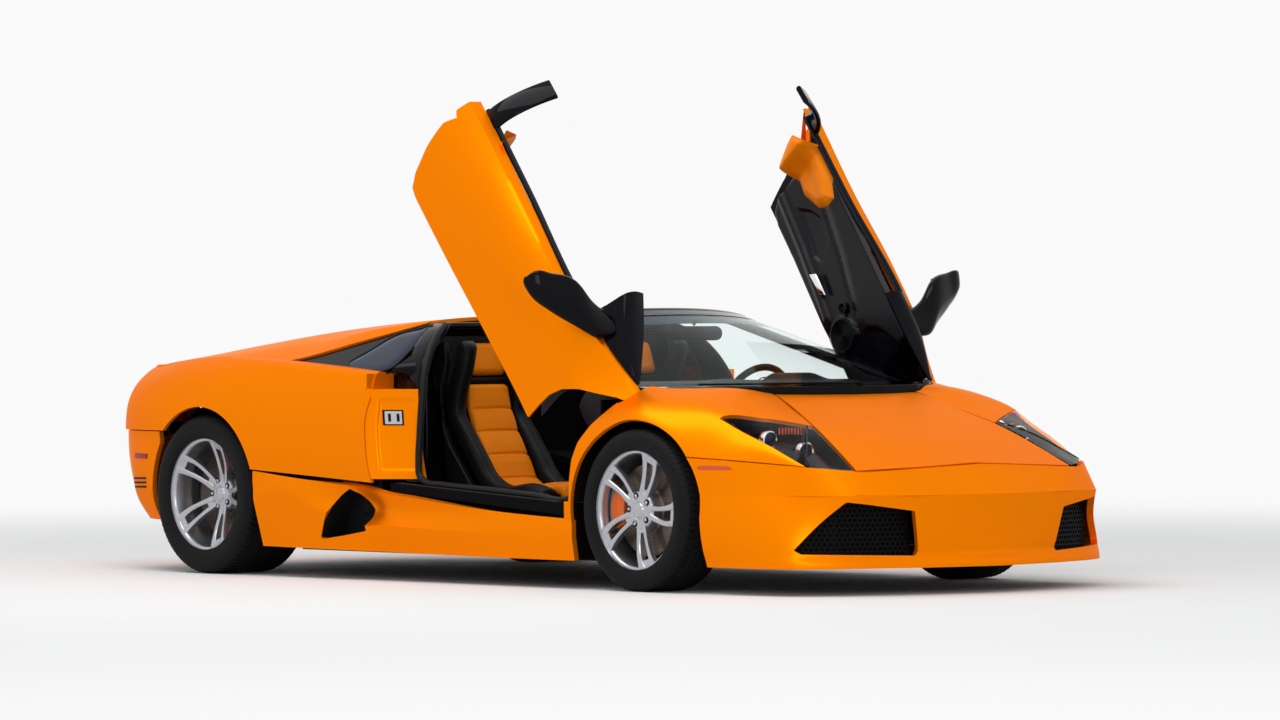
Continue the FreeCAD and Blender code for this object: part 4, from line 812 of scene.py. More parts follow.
def rim_shape(width, hub_top, phase):
    bead = width / 2 - 17
    lip = bead + 5
    rim = lathe([(FLANGE_R - 1.5, -lip), (FLANGE_R, lip - 2), (FLANGE_R - 2.5, lip),
                 (FLANGE_R - 12, lip - 0.5), (FLANGE_R - 17, lip - 4), (FLANGE_R - 19, lip - 10),
                 (FLANGE_R - 24, lip - 12), (BARREL_R + 3, lip - 16), (BARREL_R - 1, lip - 30),
                 (BARREL_R - 3, lip * 0.35), (BARREL_R - 4, -lip + 3), (FLANGE_R - 1.5, -lip)], 96)
    hub = lathe([(0.1, hub_top + 1), (22, hub_top + 1.5), (27, hub_top), (30, hub_top - 4),
                 (34, hub_top - 5), (36, hub_top - 3.5), (66, hub_top - 5), (72, hub_top - 8),
                 (77, hub_top - 16), (80, HUB_FACE)], 60)
    parts = [rim, hub]
    stations = np.array(SPOKE_STATIONS, float)
    first, last = stations[0, 0], stations[-1, 0]
    low_top, high_top = hub_top - 4, bead - 4

    def along(low, high, count):
        """Radius, top and the other columns of SPOKE_STATIONS at places along a spoke."""
        radii = np.linspace(low, high, count)
        share = np.clip((radii - first) / (last - first), 0, None)
        tops = low_top + (high_top - low_top) * share**SPOKE_CURVE
        return list(zip(radii, tops, spline(stations[:, 0], stations[:, 1:], radii)))

    for index in range(SPOKE_PAIRS):
        angle = math.radians(phase + index * 360.0 / SPOKE_PAIRS)
        for side in (-1, 1):
            rings = []
            for radius, top, (offset, bend, half, depth) in along(first, last, 16):
                edge = min(5.0, half * 0.45)
                inner, outer = [side * offset + bend + way * side * half for way in (-1, 1)]
                ring = [(inner, top - depth), (inner, top - 6), (inner + side * edge * 0.7, top - 2.5),
                        (outer - side * edge * 1.4, top), (outer - side * 1.5, top - 2.0),
                        (outer, top - 7), (outer, top - depth)]
                rings.append([(a, w, radius) for a, w in ring[::side]])
            parts.append(turned(loft(rings), angle))
        for low, high in SPOKE_WEBS:
            rings = [[(bend - offset, top - 15, radius), (bend - offset, top - 5, radius),
                      (bend + offset, top - 5, radius), (bend + offset, top - 15, radius)]
                     for radius, top, (offset, bend, _, _) in along(low, high, 5)]
            parts.append(turned(loft(rings), angle))
    return joined(*parts)


def lug_shapes(hub_top, phase):
    """Recesses between the spokes, each with a six-sided nut in it; the recesses are drawn matt black as
    painted shade.
    """
    cup = lathe([(13.5, hub_top - 6), (13.0, hub_top - 3.4), (11.0, hub_top - 3.2),
                 (10.5, hub_top - 4.3), (0.1, hub_top - 4.4)], 20)
    nut = lathe([(6.5, hub_top - 5), (6.5, hub_top - 1.5), (5.2, hub_top - 0.4),
                 (0.1, hub_top - 0.4)], 6)
    angles = [math.radians(phase + (index + 0.5) * 360.0 / SPOKE_PAIRS) for index in range(SPOKE_PAIRS)]
    return [joined(*[turned(moved(shape, z=LUG_CIRCLE_R), angle) for angle in angles])
            for shape in (cup, nut)]


def disc_shapes():
    disc = lathe([(62, DISC_IN), (DISC_R, DISC_IN), (DISC_R, DISC_IN + 10), (DISC_R - 4, DISC_IN + 11),
                  (DISC_R - 4, DISC_OUT - 11), (DISC_R, DISC_OUT - 10), (DISC_R, DISC_OUT),
                  (92, DISC_OUT), (90, DISC_OUT + 3), (80, HUB_FACE + 1), (40, HUB_FACE + 1)], 80)
    # Black dots on the disc's face stand for the drilled holes: painted shade where the holes are dark.
    dot = np.array([(x, DISC_OUT + 0.25, z) for x, z in circle(HOLE_R, 8)]), [list(range(8))]
    painted_shade_holes = [turned(moved(dot, z=radius), 2 * math.pi * (k + 0.2 * row) / HOLES)
             for row, radius in enumerate(HOLE_CIRCLES) for k in range(HOLES)]
    return disc, joined(*painted_shade_holes)


def caliper_shape(toward):
    """An outer and an inner block, and a bridge over the disc's edge."""
    sectors = []
    for inner, low, high in ((CALIPER_IN_R, DISC_OUT + 6.5, 58.5), (CALIPER_IN_R, -22.5, 1.5),
                             (184.5, 0.0, 46.0)):
        rings = []
        for turn in np.linspace(-CALIPER_SPREAD, CALIPER_SPREAD, 9):
            squeeze = 1.0 - 0.25 * abs(turn / CALIPER_SPREAD)**3
            out = inner + (CALIPER_OUT_R - inner) * squeeze
            ring = [(inner, low + 2), (inner, high - 3), (inner + 3, high), (out - 9, high),
                    (out, high - 8), (out, low)]
            rings.append([(toward * r * math.cos(turn), w, r * math.sin(turn)) for r, w in ring])
        sectors.append(loft(rings))
    return joined(*sectors)


def wheels():
    disc, painted_shade_holes = disc_shapes()
    for end, x, y, radius, width, hub_top, phase in WHEELS:
        painted_shade_cups, nuts = lug_shapes(hub_top, phase)
        is_front = end == "front"
        body, rim_node = end + "_wheel_{}", end + "_rim_{}"
        parts = [
            ("tyre_", tyre_shape(radius, width), TYRE, body, "tyre_rubber", [end + "_tyre_{}"],
             {"edge": 30.0}),
            ("spokes_", rim_shape(width, hub_top, phase), SILVER, body, "rim_silver", [rim_node],
             {"edge": 32.0}),
            ("disc_", disc, DISC, body, "steel", [rim_node], {}),
            # Black dots on the disc: painted shade for its drilled holes.
            ("disc_holes_", painted_shade_holes, MATT_BLACK, body, "steel", [], {"outward": False}),
            # Matt black lug recesses: painted shade in the silver hollows.
            ("lug_cups_", painted_shade_cups, MATT_BLACK, body, "rim_silver", [], {}),
            ("lug_nuts_", nuts, STEEL, body, "steel", [], {}),
            ("caliper_", caliper_shape(-1 if is_front else 1), CALIPER,
             "front_upright_{}" if is_front else "body", "steel", [], {"bevel": 1.5}),
        ]
        on_sides([(name + end + "_{}", moved(shape, x, y, radius), *rest)
                  for name, shape, *rest in parts])


# Edges of skins

def border(shape):
    """The points along the longest open edge of a skin, in order."""
    points, faces = shape
    follow = {}
    for face in faces:
        for a, b in zip(face, face[1:] + face[:1]):
            if follow.get(b) == a:
                del follow[b]
            else:
                follow[a] = b
    loops = []
    while follow:
        start, here = next(iter(follow.items()))
        del follow[start]
        loop = [start]
        while here in follow:
            loop.append(here)
            here = follow.pop(here)
        loops.append(loop)
    return points[max(loops, key=len)]


def respaced(loop, count, start):
    """A closed line as evenly spaced points that begin nearest to the start."""
    first = np.argmin(np.linalg.norm(loop - start, axis=1))
    loop = np.roll(loop, -first, axis=0)
    loop = np.concatenate([loop, loop[:1]])
    length = np.concatenate([[0], np.cumsum(np.linalg.norm(np.diff(loop, axis=0), axis=1))])
    at = np.linspace(0, length[-1], count, endpoint=False)
    return np.stack([np.interp(at, length, loop[:, k]) for k in range(3)], axis=1)


# Lamps and grilles

# middles of the two lenses, and x, y and z of the lamp's rear corner
PROJECTORS = ((1850, 585, 542), (1725, 660, 585))
PROJECTOR_R = 36.0
LAMP_TAIL = (1579.0, 789.0, 672.0)
BOWL_DROP = (-6.0, -6.0, -58.0)
# ribs of the amber reflector: their number, the first one's x and y, and the step to the next
RIBS, RIB_START, RIB_STEP, RIB_LOW_Z = 8, (1790, 560), (-10, 7.0), 606
# x and y of the intake's mesh, from the middle outwards
GRILLE_LINE = ((2180, 330), (2074, 655), (1907, 830))
MESH_PITCH, MESH_WEB, MESH_DEPTH = 21.0, 4.2, 9.0
INTAKE_Z, REAR_GRILLE_Z = (140, 372), (640, 806)
REAR_GRILLE_X, REAR_GRILLE_HALF, REAR_GRILLE_MID_Z, REAR_GRILLE_LEAN = -2250, 402, 725, 0.2
DUCT_LINE = ((2140, 330), (2030, 640), (1872, 800))


def facing_forward(shape, place):
    return moved(turned(shape, -math.pi / 2, "Z"), *place)


def lamp_patch(inset):
    return clip(fender_skin(), within(LAMP_OUTLINE, XY, -inset), nose_side(True))


def headlamps():
    cover = lamp_patch(0.8)
    panel("lamp_covers", both(faced(cover, (1700.0, 0.0, 300.0))), "body", "headlamp_covers", LENS,
          "lamp_glass", thickness=3.0)
    bowl = moved(cover, *BOWL_DROP)
    side = loft([border(moved(cover, 0, 0, -4.0)), border(bowl)], caps=False)
    piece("lamp_bowls", both(joined(bowl, side)), GLOSS_BLACK, "body", "lamp", ["headlamps"],
          outward=False)
    r = PROJECTOR_R
    for name, profile, sides, surface in (
            ("lamp_rings", [(r - 9, -6), (r - 8, 0), (r - 4, 2), (r, 0), (r + 1, -6), (r, -26)], 40,
             CHROME),
            ("lamp_lenses", [(r - 9, -9), (20, -2), (10, 2), (0.1, 3.5)], 32, DARK_GLASS),
            ("lamp_barrels", [(r - 3, -20), (r - 3, -95)], 24, GLOSS_BLACK)):
        shape = lathe(profile, sides)
        shapes = [facing_forward(shape, place) for place in PROJECTORS]
        piece(name, both(joined(*shapes)), surface, "body", "lamp")
    ribs = []
    low = RIB_LOW_Z
    for k in range(RIBS):
        x, y = [start + step * k for start, step in zip(RIB_START, RIB_STEP)]
        ribs.append(prism([(x, low), (x + 5, low), (x + 5, low + 24), (x, low + 26)], XZ, y, y + 5))
    piece("lamp_reflectors", both(joined(*ribs)), AMBER, "body", "lamp", bevel=1.0)
    edge = respaced(border(lamp_patch(3.0)), 160, LAMP_TAIL)
    piece("lamp_seals", both(tube(edge, 2.6, 6, closed=True)), RUBBER, "body", "lamp")


def honeycomb(length, low, high, keep):
    """Six-sided cells with walls, standing along the X axis and facing -Y."""
    outer_r = MESH_PITCH / math.sqrt(3)
    inner_r = (MESH_PITCH - MESH_WEB) / math.sqrt(3)
    rise = MESH_PITCH * math.sqrt(3) / 2
    turns = [math.radians(60 * k) for k in range(6)]
    cells = []
    for row in range(int((high - low) / rise) + 1):
        for column in range(int(length / MESH_PITCH) + 1):
            x = (column + 0.5 * (row % 2)) * MESH_PITCH
            z = low + row * rise
            if not keep(x, z):
                continue
            rings = [[(x + radius * math.sin(t), y, z + radius * math.cos(t)) for t in turns]
                     for radius, y in ((inner_r, MESH_DEPTH), (inner_r, 1.5), (inner_r + 1.0, 0.0),
                                       (outer_r, 0.0))]
            cells.append(loft(rings, caps=False))
    return joined(*cells)


def intake_grilles():
    leaves = []
    field = within(INTAKE_OUTLINE, XY, 18.0)
    for (x0, y0), (x1, y1) in zip(GRILLE_LINE[:-1], GRILLE_LINE[1:]):
        length = math.hypot(x1 - x0, y1 - y0)

        def keep(along, z):
            y = y0 + (y1 - y0) * along / length
            return along <= length and field(np.array([[y, z, 0.0]]))[0] < 0
        leaf = turned(honeycomb(length, *INTAKE_Z, keep), math.atan2(y1 - y0, x1 - x0), "Z")
        leaves.append(moved(leaf, x0, y0, 0))
    piece("intake_mesh", both(joined(*leaves)), MESH, "body", "black_mesh", ["intake_grilles"],
          outward=False)
    ducts = loft([[(x, y, z) for x, y in DUCT_LINE] for z in (120, 385)], closed=False, caps=False)
    piece("intake_ducts", both(ducts), MATT_BLACK, "body", "black_mesh")


def rear_grille():
    cells = honeycomb(2 * REAR_GRILLE_HALF, *REAR_GRILLE_Z, lambda along, z: True)
    points, faces = facing_forward(cells, (REAR_GRILLE_X, REAR_GRILLE_HALF, 0))
    points[:, 0] += (points[:, 2] - REAR_GRILLE_MID_Z) * REAR_GRILLE_LEAN
    piece("rear_mesh", (points, faces), MESH, "body", "black_mesh", ["rear_grille"], outward=False)


# Windscreen

# corners and middles of the screen's foot and of its top edge
SCREEN_BASE = (1050, 757, 786)
SCREEN_BASE_MID = (1385, 0, 788)
SCREEN_HEADER = (150, 573, 1063)
SCREEN_HEADER_MID = (345, 0, 1092)
SCREEN_HALF, SCREEN_BULGE = 750.0, 9.0
# shares of the screen's height
FOOT_BAND, SUN_BAND, TOP_BAND, INNER_TOP_BAND = (0.0, 0.055), (0.79, 0.905), (0.90, 0.99), (0.90, 0.97)
# x, inner and outer y, under side and top of the side post, at its foot and at its head
POST_ENDS = np.array([(1030, 702, 757, 739, 780), (104, 532, 577, 1027, 1060)], float)
HEADER_SECTION = ((36, -8), (30, -4), (8, 1), (-22, 1), (-38, -3), (-46, -12), (-46, -26), (-38, -33),
                  (-4, -33), (30, -22))


def arc_point(corner, middle, y):
    """A point of the cross-car curve through the two corners and the middle, at this y."""
    sagitta = middle[0] - corner[0]
    radius = (corner[1]**2 + sagitta**2) / (2 * sagitta)
    x = middle[0] - radius + math.sqrt(radius**2 - y**2)
    return x, middle[2] - (middle[2] - corner[2]) * (y / corner[1])**2


def screen_edges(y):
    """x and z of the screen's foot and top at this y."""
    width = abs(y)
    base = arc_point(SCREEN_BASE, SCREEN_BASE_MID, width)
    if width <= SCREEN_HEADER[1]:
        return base, arc_point(SCREEN_HEADER, SCREEN_HEADER_MID, width)
    part = (width - SCREEN_HEADER[1]) / (SCREEN_BASE[1] - SCREEN_HEADER[1])
    return base, [SCREEN_HEADER[i] + part * (SCREEN_BASE[i] - SCREEN_HEADER[i]) for i in (0, 2)]


def screen_patch(low, high, drop, y_low=-SCREEN_HALF, y_high=SCREEN_HALF):
    """A strip of the screen between two shares of its height, some way below its outer face."""
    ys = np.linspace(y_low, y_high, 72)
    shares = np.linspace(low, high, 24)
    points = []
    for y in ys:
        (x0, z0), (x1, z1) = screen_edges(y)
        crown = SCREEN_BULGE * math.cos(y / (SCREEN_HALF + 1) * math.pi / 2)
        for t in shares:
            rise = crown * math.sin(math.pi * t)
            points.append((x0 + (x1 - x0) * t, y, z0 + (z1 - z0) * t + rise - drop))
    return np.array(points), grid_faces(len(ys), len(shares))


def windscreen():
    middle = (600.0, 0.0, 300.0)
    panel("screen_glass", screen_patch(0.0, 0.975, 0.0), "body", "windscreen", GLASS, "screen_glass",
          thickness=2.5, middle=middle)
    band = material("blue_sun_band", (0.006, 0.022, 0.05), 0.05, scale=30.0, uneven=0.01,
                    Transmission_Weight=0.35, IOR=1.1, Specular_IOR_Level=0.2)
    strip = faced(screen_patch(*SUN_BAND, 4.0, -606, 606), middle)
    piece("screen_sun_band", strip, band, "body", "screen_glass", thickness=1.0, outward=False)
    mask = [screen_patch(*FOOT_BAND, 6.2), screen_patch(*TOP_BAND, -1.5, -580, 580),
            screen_patch(*INNER_TOP_BAND, 4.0, -580, 580)]
    mask += [screen_patch(0.0, 1.0, 6.2, sign * SCREEN_HALF, sign * 728) for sign in (1, -1)]
    piece("screen_black_edge", joined(*mask), GLOSS_BLACK, "body", "gloss_black", outward=False)
    header = []
    for y in np.linspace(-573, 573, 49):
        x, z = arc_point(SCREEN_HEADER, SCREEN_HEADER_MID, abs(y))
        header.append([(x + ahead, y, z + above) for ahead, above in HEADER_SECTION])
    pillars = []
    for sign in (1, -1):
        rings = []
        for t in np.linspace(0, 1, 20):
            x, low, high, under, top = POST_ENDS[0] + (POST_ENDS[1] - POST_ENDS[0]) * t
            ring = [(low + 6, under), (low, under + 8), (low + 2, top + 4), (low + 10, top + 5),
                    (high - 8, top - 2), (high, top - 10), (high, under + 10), (high - 10, under)]
            rings.append([(x, sign * y, z) for y, z in ring])
        pillars.append(loft(rings))
    piece("screen_frame", joined(loft(header), *pillars), GLOSS_BLACK, "body", "gloss_black",
          ["windscreen_frame"], edge=50.0)


# Door frames and mirrors, drawn closed on the left

# x, then y and z of the rails from foot to top
SAIL_ROWS = [
    (1062, 766, 795, 774, 796, 779, 796, 784, 795),
    (872, 690, 867, 778, 866, 812, 822, 832, 802),
    (712, 642, 924, 735, 924, 800, 838, 846, 806),
]
# x, y and z along the belt line, then y and z about it
BELT_ROWS = [(-296, 859, 840), (100, 856, 822), (712, 858, 805), (1000, 793, 796)]
BELT_SECTION = ((-18, 0), (0, 0), (-1, 9), (-5, 13), (-14, 13), (-17, 10))
BELT_SEAL_SECTION = ((-30, -2), (-19, -1), (-21, 8), (-28, 7))
# the blade behind the side window: its x, then y and z from the belt up, and its section
BLADE_X = -246
BLADE_LINE = [(852, 826), (842, 865), (822, 902), (786, 944), (744, 981), (700, 1012), (662, 1034)]
BLADE_SECTION = [(11, -40), (11, 38), (8, 45), (0, 46), (-8, 42), (-11, 34), (-11, -36), (-6, -45),
                 (4, -46)]
# y, then x and z of the housing's corners
MIRROR_ROWS = [
    (800, 850, 812, 840, 850, 760, 862, 735, 830, 760, 812),
    (880, 850, 812, 835, 850, 720, 890, 700, 860, 760, 812),
    (950, 800, 812, 760, 880, 655, 932, 630, 900, 680, 815),
    (1050, 722, 816, 700, 880, 612, 928, 592, 900, 600, 815),
    (1120, 660, 832, 650, 885, 592, 920, 580, 890, 585, 825),
    (1150, 618, 848, 612, 872, 592, 885, 582, 875, 585, 850),
]
MIRROR_START_Y, MIRROR_END_Y, MIRROR_TIP = 800, 1120, 30
MIRROR_TIP_YS = [1130, 1138, 1145, 1149]
MIRROR_GLASS_YS = (965, 1000, 1040, 1080, 1115, 1138)


def rounded_ring(corners, count=28, tightness=0.22):
    """A closed outline through soft corners, from the given corner points."""
    corners = np.array(corners, float)
    points = []
    for before, here, after in zip(np.roll(corners, 1, axis=0), corners, np.roll(corners, -1, axis=0)):
        points += [here + (before - here) * tightness, here * 0.9 + (before + after) * 0.05,
                   here + (after - here) * tightness]
    return smooth_line(points, count, closed=True)


def mirror_row(y):
    rows = np.array(MIRROR_ROWS, float)
    return spline(rows[:, 0], rows[:, 1:], np.array([float(y)]))[0].reshape(-1, 2)


def mirror_shape():
    rings = []
    for y in np.concatenate([np.linspace(MIRROR_START_Y, MIRROR_END_Y, 22), MIRROR_TIP_YS]):
        ring = rounded_ring(mirror_row(y), 30)
        if y > MIRROR_END_Y:
            ring = drawn_in(ring, math.sqrt(max(0.05, 1 - ((y - MIRROR_END_Y) / MIRROR_TIP)**2)))
        rings.append(at_y(ring, y))
    return loft(rings)


def mirror_glass():
    points = []
    for y in MIRROR_GLASS_YS:
        top, low = mirror_row(y)[3:5]
        inset = 8 + max(0, y - 1080) * 0.12
        points.append([(top[0] - 0.5, y, top[1] - inset), (low[0] - 1.5, y, low[1] + inset)])
    return loft(points, closed=False, caps=False)


def door_frames():
    rows = np.array(BELT_ROWS, float)
    line = spline(rows[:, 0], rows, np.linspace(rows[0, 0], rows[-1, 0], 60))
    belt, seal = [loft([[(x, y + out, z + up) for out, up in section] for x, y, z in line])
                  for section in (BELT_SECTION, BELT_SEAL_SECTION)]
    blade = sweep(smooth_line([(BLADE_X, y, z) for y, z in BLADE_LINE], 28), BLADE_SECTION,
                  up=(1, 0, 0))
    sail = faced(skin(SAIL_ROWS, pitch=9.0, blur=2), (800.0, 0.0, 700.0))
    node = "door_frame_{}"
    on_sides([
        ("belt_and_blade_{}", opened(joined(belt, blade)), GLOSS_BLACK, DOOR, "gloss_black", [node],
         {"edge": 50.0}),
        ("pillar_cover_{}", faced(opened(sail), (1000.0, 0.0, 700.0)), GLOSS_BLACK, DOOR,
         "gloss_black", [node], {"thickness": 9.0, "outward": False}),
        ("belt_seal_{}", opened(seal), RUBBER, DOOR, "gloss_black", [], {}),
        ("mirror_shell_{}", opened(mirror_shape()), GLOSS_BLACK, DOOR, "gloss_black",
         ["door_mirror_{}"], {"edge": 60.0}),
        ("mirror_glass_{}", opened(mirror_glass()), CHROME, DOOR, "gloss_black", [],
         {"outward": False}),
    ])


# Doors: edges, inner face, trim

TRIM_OUTLINE = [
    (-70, 404), (-128, 424), (-160, 464), (-172, 520), (-174, 600), (-160, 700), (-150, 814),
    (100, 806), (400, 798), (712, 788), (850, 778), (945, 768), (930, 738), (868, 716), (780, 694),
    (690, 655), (640, 600), (622, 520), (632, 430), (640, 372), (585, 366), (226, 387),
]
TRIM_REACH = 1256.0
SEAM = ([-200, 77, 284, 587, 800], [735, 668, 630, 548, 548])
LIP = ([-170, 100, 288, 461, 520], [508, 476, 452, 428, 425])
POCKET = [(-60, 545), (10, 612), (70, 640), (190, 612), (232, 520), (180, 500), (60, 522)]
# x, z and radius
SPEAKER = (560.0, 462.0, 66.0)
TWEETER = (475.0, 535.0, 20.0)
PAD_OUTLINE = [(-184, 655), (-221, 747), (-233, 800), (-178, 836), (-110, 844), (0, 806), (78, 764),
               (80, 706), (39, 652), (-60, 616), (-143, 632)]
PAD_INNER_Y = 750.0
STRUT_OUTLINE = [(610, 420), (640, 600), (720, 690), (950, 762), (1085, 775), (1085, 748), (1010, 694),
                 (945, 640), (890, 560), (865, 490), (858, 420), (852, 362), (640, 374)]
# x and z of the pull handle's corners, outside and nearer the cabin
HANDLE = (((238, 468), (262, 504), (372, 494), (348, 466)),
          ((242, 471), (264, 500), (368, 491), (346, 469)))
BOSS_X, BOSS_Z = 1040.0, 742.0
EDGE_INNER_Y = 700


def door_side(x, z):
    """How far out the door's skin is at places in its side view."""
    x, z = np.broadcast_arrays(np.asarray(x, float), np.asarray(z, float))
    rows = np.array(DOOR_ROWS, float)
    spread = np.array([np.interp(z, row[:2:-2], row[-2:1:-2]).ravel() for row in rows])
    place = np.interp(x, rows[:, 0], np.arange(len(rows))).ravel()
    low = np.clip(place.astype(int), 0, len(rows) - 2)
    share = place - low
    flat = np.arange(x.size)
    return (spread[low, flat] * (1 - share) + spread[low + 1, flat] * share).reshape(x.shape)


def door_face(x, z=480.0):
    """The side of the door that faces the cabin."""
    rows = np.array(DOOR_ROWS, float)
    side = np.interp(x, rows[:, 0], rows[:, 9])
    full = side - np.clip(112 - (x - 800) * 86 / 150, 26, 112)
    return np.minimum(full, door_side(x, z) - 18)


def smooth(value):
    value = np.clip(value, 0, 1)
    return value * value * (3 - 2 * value)


def door_skin():
    return clip(skin(DOOR_ROWS, sharp=[1], pitch=12.0), within(DOOR_OUTLINE, XZ), door_cone(0.0))


def sheet(x_range, z_range, pitch, depth):
    """A grid in the door's plane, set in towards the cabin from the door's inner face."""
    xs = np.arange(*x_range, pitch)
    zs = np.arange(*z_range, pitch)
    x, z = np.meshgrid(xs, zs, indexing="ij")
    points = np.stack([x.ravel(), np.zeros(x.size), z.ravel()], axis=1)
    points[:, 1] = door_face(points[:, 0], points[:, 2]) - depth(points)
    return points, grid_faces(len(xs), len(zs))


def door_structure():
    loop = border(door_skin())
    inner = loop.copy()
    inner[:, 1] = np.minimum(door_face(loop[:, 0], loop[:, 2]), loop[:, 1] - 12)
    dx, dz = inner[:, 0] - HINGE_X, inner[:, 2] - HINGE_Z
    limit = np.where(inner[:, 2] < SHUT_SHELF_Z, shut_reach(inner[:, 1]), SHUT_EDGE_R)
    share = np.minimum(1.0, limit / np.hypot(dx, dz))
    inner[:, 0], inner[:, 2] = HINGE_X + dx * share, HINGE_Z + dz * share
    rim = loft([loop + (0, -3.0, 0), (loop + inner) / 2, inner], caps=False)
    face = clip(sheet((-345, 1116), (340, 800), 14.0, lambda points: -11.0),
                within(DOOR_OUTLINE, XZ, -1.0),
                lambda points: from_hinge(points) - shut_reach(points[:, 1]))
    return rim, face


def trim_depth(points):
    """Relief of the trim: a step and a groove at the seam, a lip with a fall below it, a pocket and
    the speaker's ring, all falling away at the outline."""
    x, z = points[:, 0], points[:, 2]
    seam = z - np.interp(x, *SEAM)
    lip = z - np.interp(x, *LIP)
    depth = 13 + 13 * smooth(seam / 70 + 0.1) - 6 * np.exp(-(seam / 6)**2) * (x > 60)
    fade = smooth((500 - x) / 60)
    depth += fade * (20 * np.exp(-(lip / 17)**2) + 9 * smooth(-lip / 22))
    depth -= 13 * smooth(-within(POCKET, XZ)(points) / 16)
    ring = np.hypot(x - SPEAKER[0], z - SPEAKER[1])
    depth += 10 * np.exp(-((ring - SPEAKER[2] - 6) / 8)**2)
    edge = -within(TRIM_OUTLINE, XZ)(points)
    return 1.0 + depth * np.sqrt(np.clip(edge / 16, 0.02, 1))


def pad_depth(points):
    """The pad swells above the trim and rounds off towards its outline."""
    edge = -within(PAD_OUTLINE, XZ)(points)
    return trim_depth(points) - 3 + 28 * np.clip(edge / 40, 0, 1)**0.45 - 4 * smooth(1 - edge / 60)


def door_pad():
    points, faces = sheet((-240, 90), (600, 850), 5.0, pad_depth)
    share = smooth((-120 - points[:, 0]) / 60)
    rounding = 10 * (1 - smooth(-within(PAD_OUTLINE, XZ)(points) / 25))
    points[:, 1] = points[:, 1] * (1 - share) + (PAD_INNER_Y + rounding) * share
    return clip((points, faces), within(PAD_OUTLINE, XZ, -0.5))


def speaker(x, z, radius):
    """Round grille of concentric ribs that faces the cabin, on the left door."""
    profile = [(radius + 3, 8), (radius + 3, -4), (radius, -7), (radius - 4, -6)]
    for k in range(int((radius - 8) / 6)):
        r = radius - 6 - 6 * k
        profile += [(r, -1), (r - 2, -4), (r - 4, -1)]
    profile.append((0.1, -5))
    return moved(lathe(profile, 48), x, float(door_face(x)) - 22, z)


def door_insides():
    rim, face = door_structure()
    card = clip(sheet((-200, 830), (350, 812), 7.0, trim_depth), within(TRIM_OUTLINE, XZ),
                in_circle(HINGE_X, HINGE_Z, TRIM_REACH))
    strut = clip(sheet((600, 1095), (350, 785), 10.0, lambda points: 5.0), within(STRUT_OUTLINE, XZ))
    handle_y = float(door_face(300.0)) - 38
    handle = [[(x, y, z) for x, z in ring] for y, ring in zip((handle_y, handle_y - 9), HANDLE)]
    boss = moved(lathe([(0.1, -10), (20, -10), (24, -6), (24, 10)], 28), BOSS_X,
                 float(door_face(BOSS_X, BOSS_Z)) - 26, BOSS_Z)
    parts = [
        ("edge_door_", clip(rim, past(0, EDGE_INNER_Y, -1)), PAINT, "orange_paint", [],
         {"thickness": 2.0}),
        ("inner_door_", face, MATT_BLACK, "cabin_trim", [], {"thickness": 2.0}),
        ("trim_card_", card, DOOR_TRIM, "cabin_trim", ["door_trim_{}"],
         {"thickness": 2.0, "edge": 60.0}),
        ("trim_pad_", door_pad(), ORANGE_LEATHER, "seat_leather", [],
         {"thickness": 2.0, "edge": 70.0, "padded": True}),
        ("strut_cover_", strut, GLOSS_BLACK, "cabin_trim", [], {"thickness": 2.0}),
        ("pull_handle_", loft(handle), CHROME, "steel", [], {"bevel": 3.0}),
        ("speaker_", speaker(*SPEAKER), MATT_BLACK, "cabin_trim", [], {}),
        ("tweeter_", moved(speaker(*TWEETER), y=-4), GLOSS_BLACK, "cabin_trim", [], {}),
        ("hinge_boss_", boss, STEEL, "steel", [], {}),
    ]
    on_sides([(name + "{}", opened(shape), surface, DOOR, *rest)
              for name, shape, surface, *rest in parts])


# Body side of the door openings, drawn on the left

JAMB_ROOM = 5.0
JAMB_INNER_Y = 845
JAMB_LOW_Z, JAMB_HIGH_Z = 410, 833
# low and high z, inner y, width of the flange outside it and depth of the latch's sunk panel
LATCH_PANEL = (440, 735, 852, 34, 9)
SEAL_LINE = [
    (-326, 604, 1026), (-290, 664, 996), (-246, 744, 930), (-212, 800, 846), (-188, 832, 760),
    (-176, 850, 680), (-166, 866, 580), (-158, 878, 490), (-142, 886, 424), (-96, 890, 398),
    (0, 891, 390), (300, 892, 374), (600, 893, 357), (790, 892, 346), (846, 878, 362), (864, 862, 440),
    (876, 845, 540), (914, 815, 640), (974, 785, 708),
]
SEAL_SECTION = [(13, -9), (15, 0), (11, 9), (2, 12), (-8, 10), (-13, 2), (-12, -8), (-2, -11)]
FOOTWELL_LINE = [(874, 340), (878, 428), (888, 504), (916, 572), (972, 642), (1032, 688), (1084, 728)]
FILLER_LINES = (
    [(-376, 634, 1014), (-346, 692, 964), (-332, 792, 894), (-332, 866, 846), (-342, 842, 836),
     (-347, 836, 772)],
    [(-312, 584, 1036), (-276, 642, 992), (-254, 716, 938), (-230, 778, 870), (-212, 812, 812),
     (-200, 824, 770)],
)


def on_reach(reach, z):
    """x on the rear of a circle about the hinge."""
    return HINGE_X - np.sqrt(reach**2 - (z - HINGE_Z)**2)


def cone_x(y, z):
    return on_reach(shut_reach(y) + (GAP + JAMB_ROOM) * math.hypot(1, SHUT_SLOPE), z)


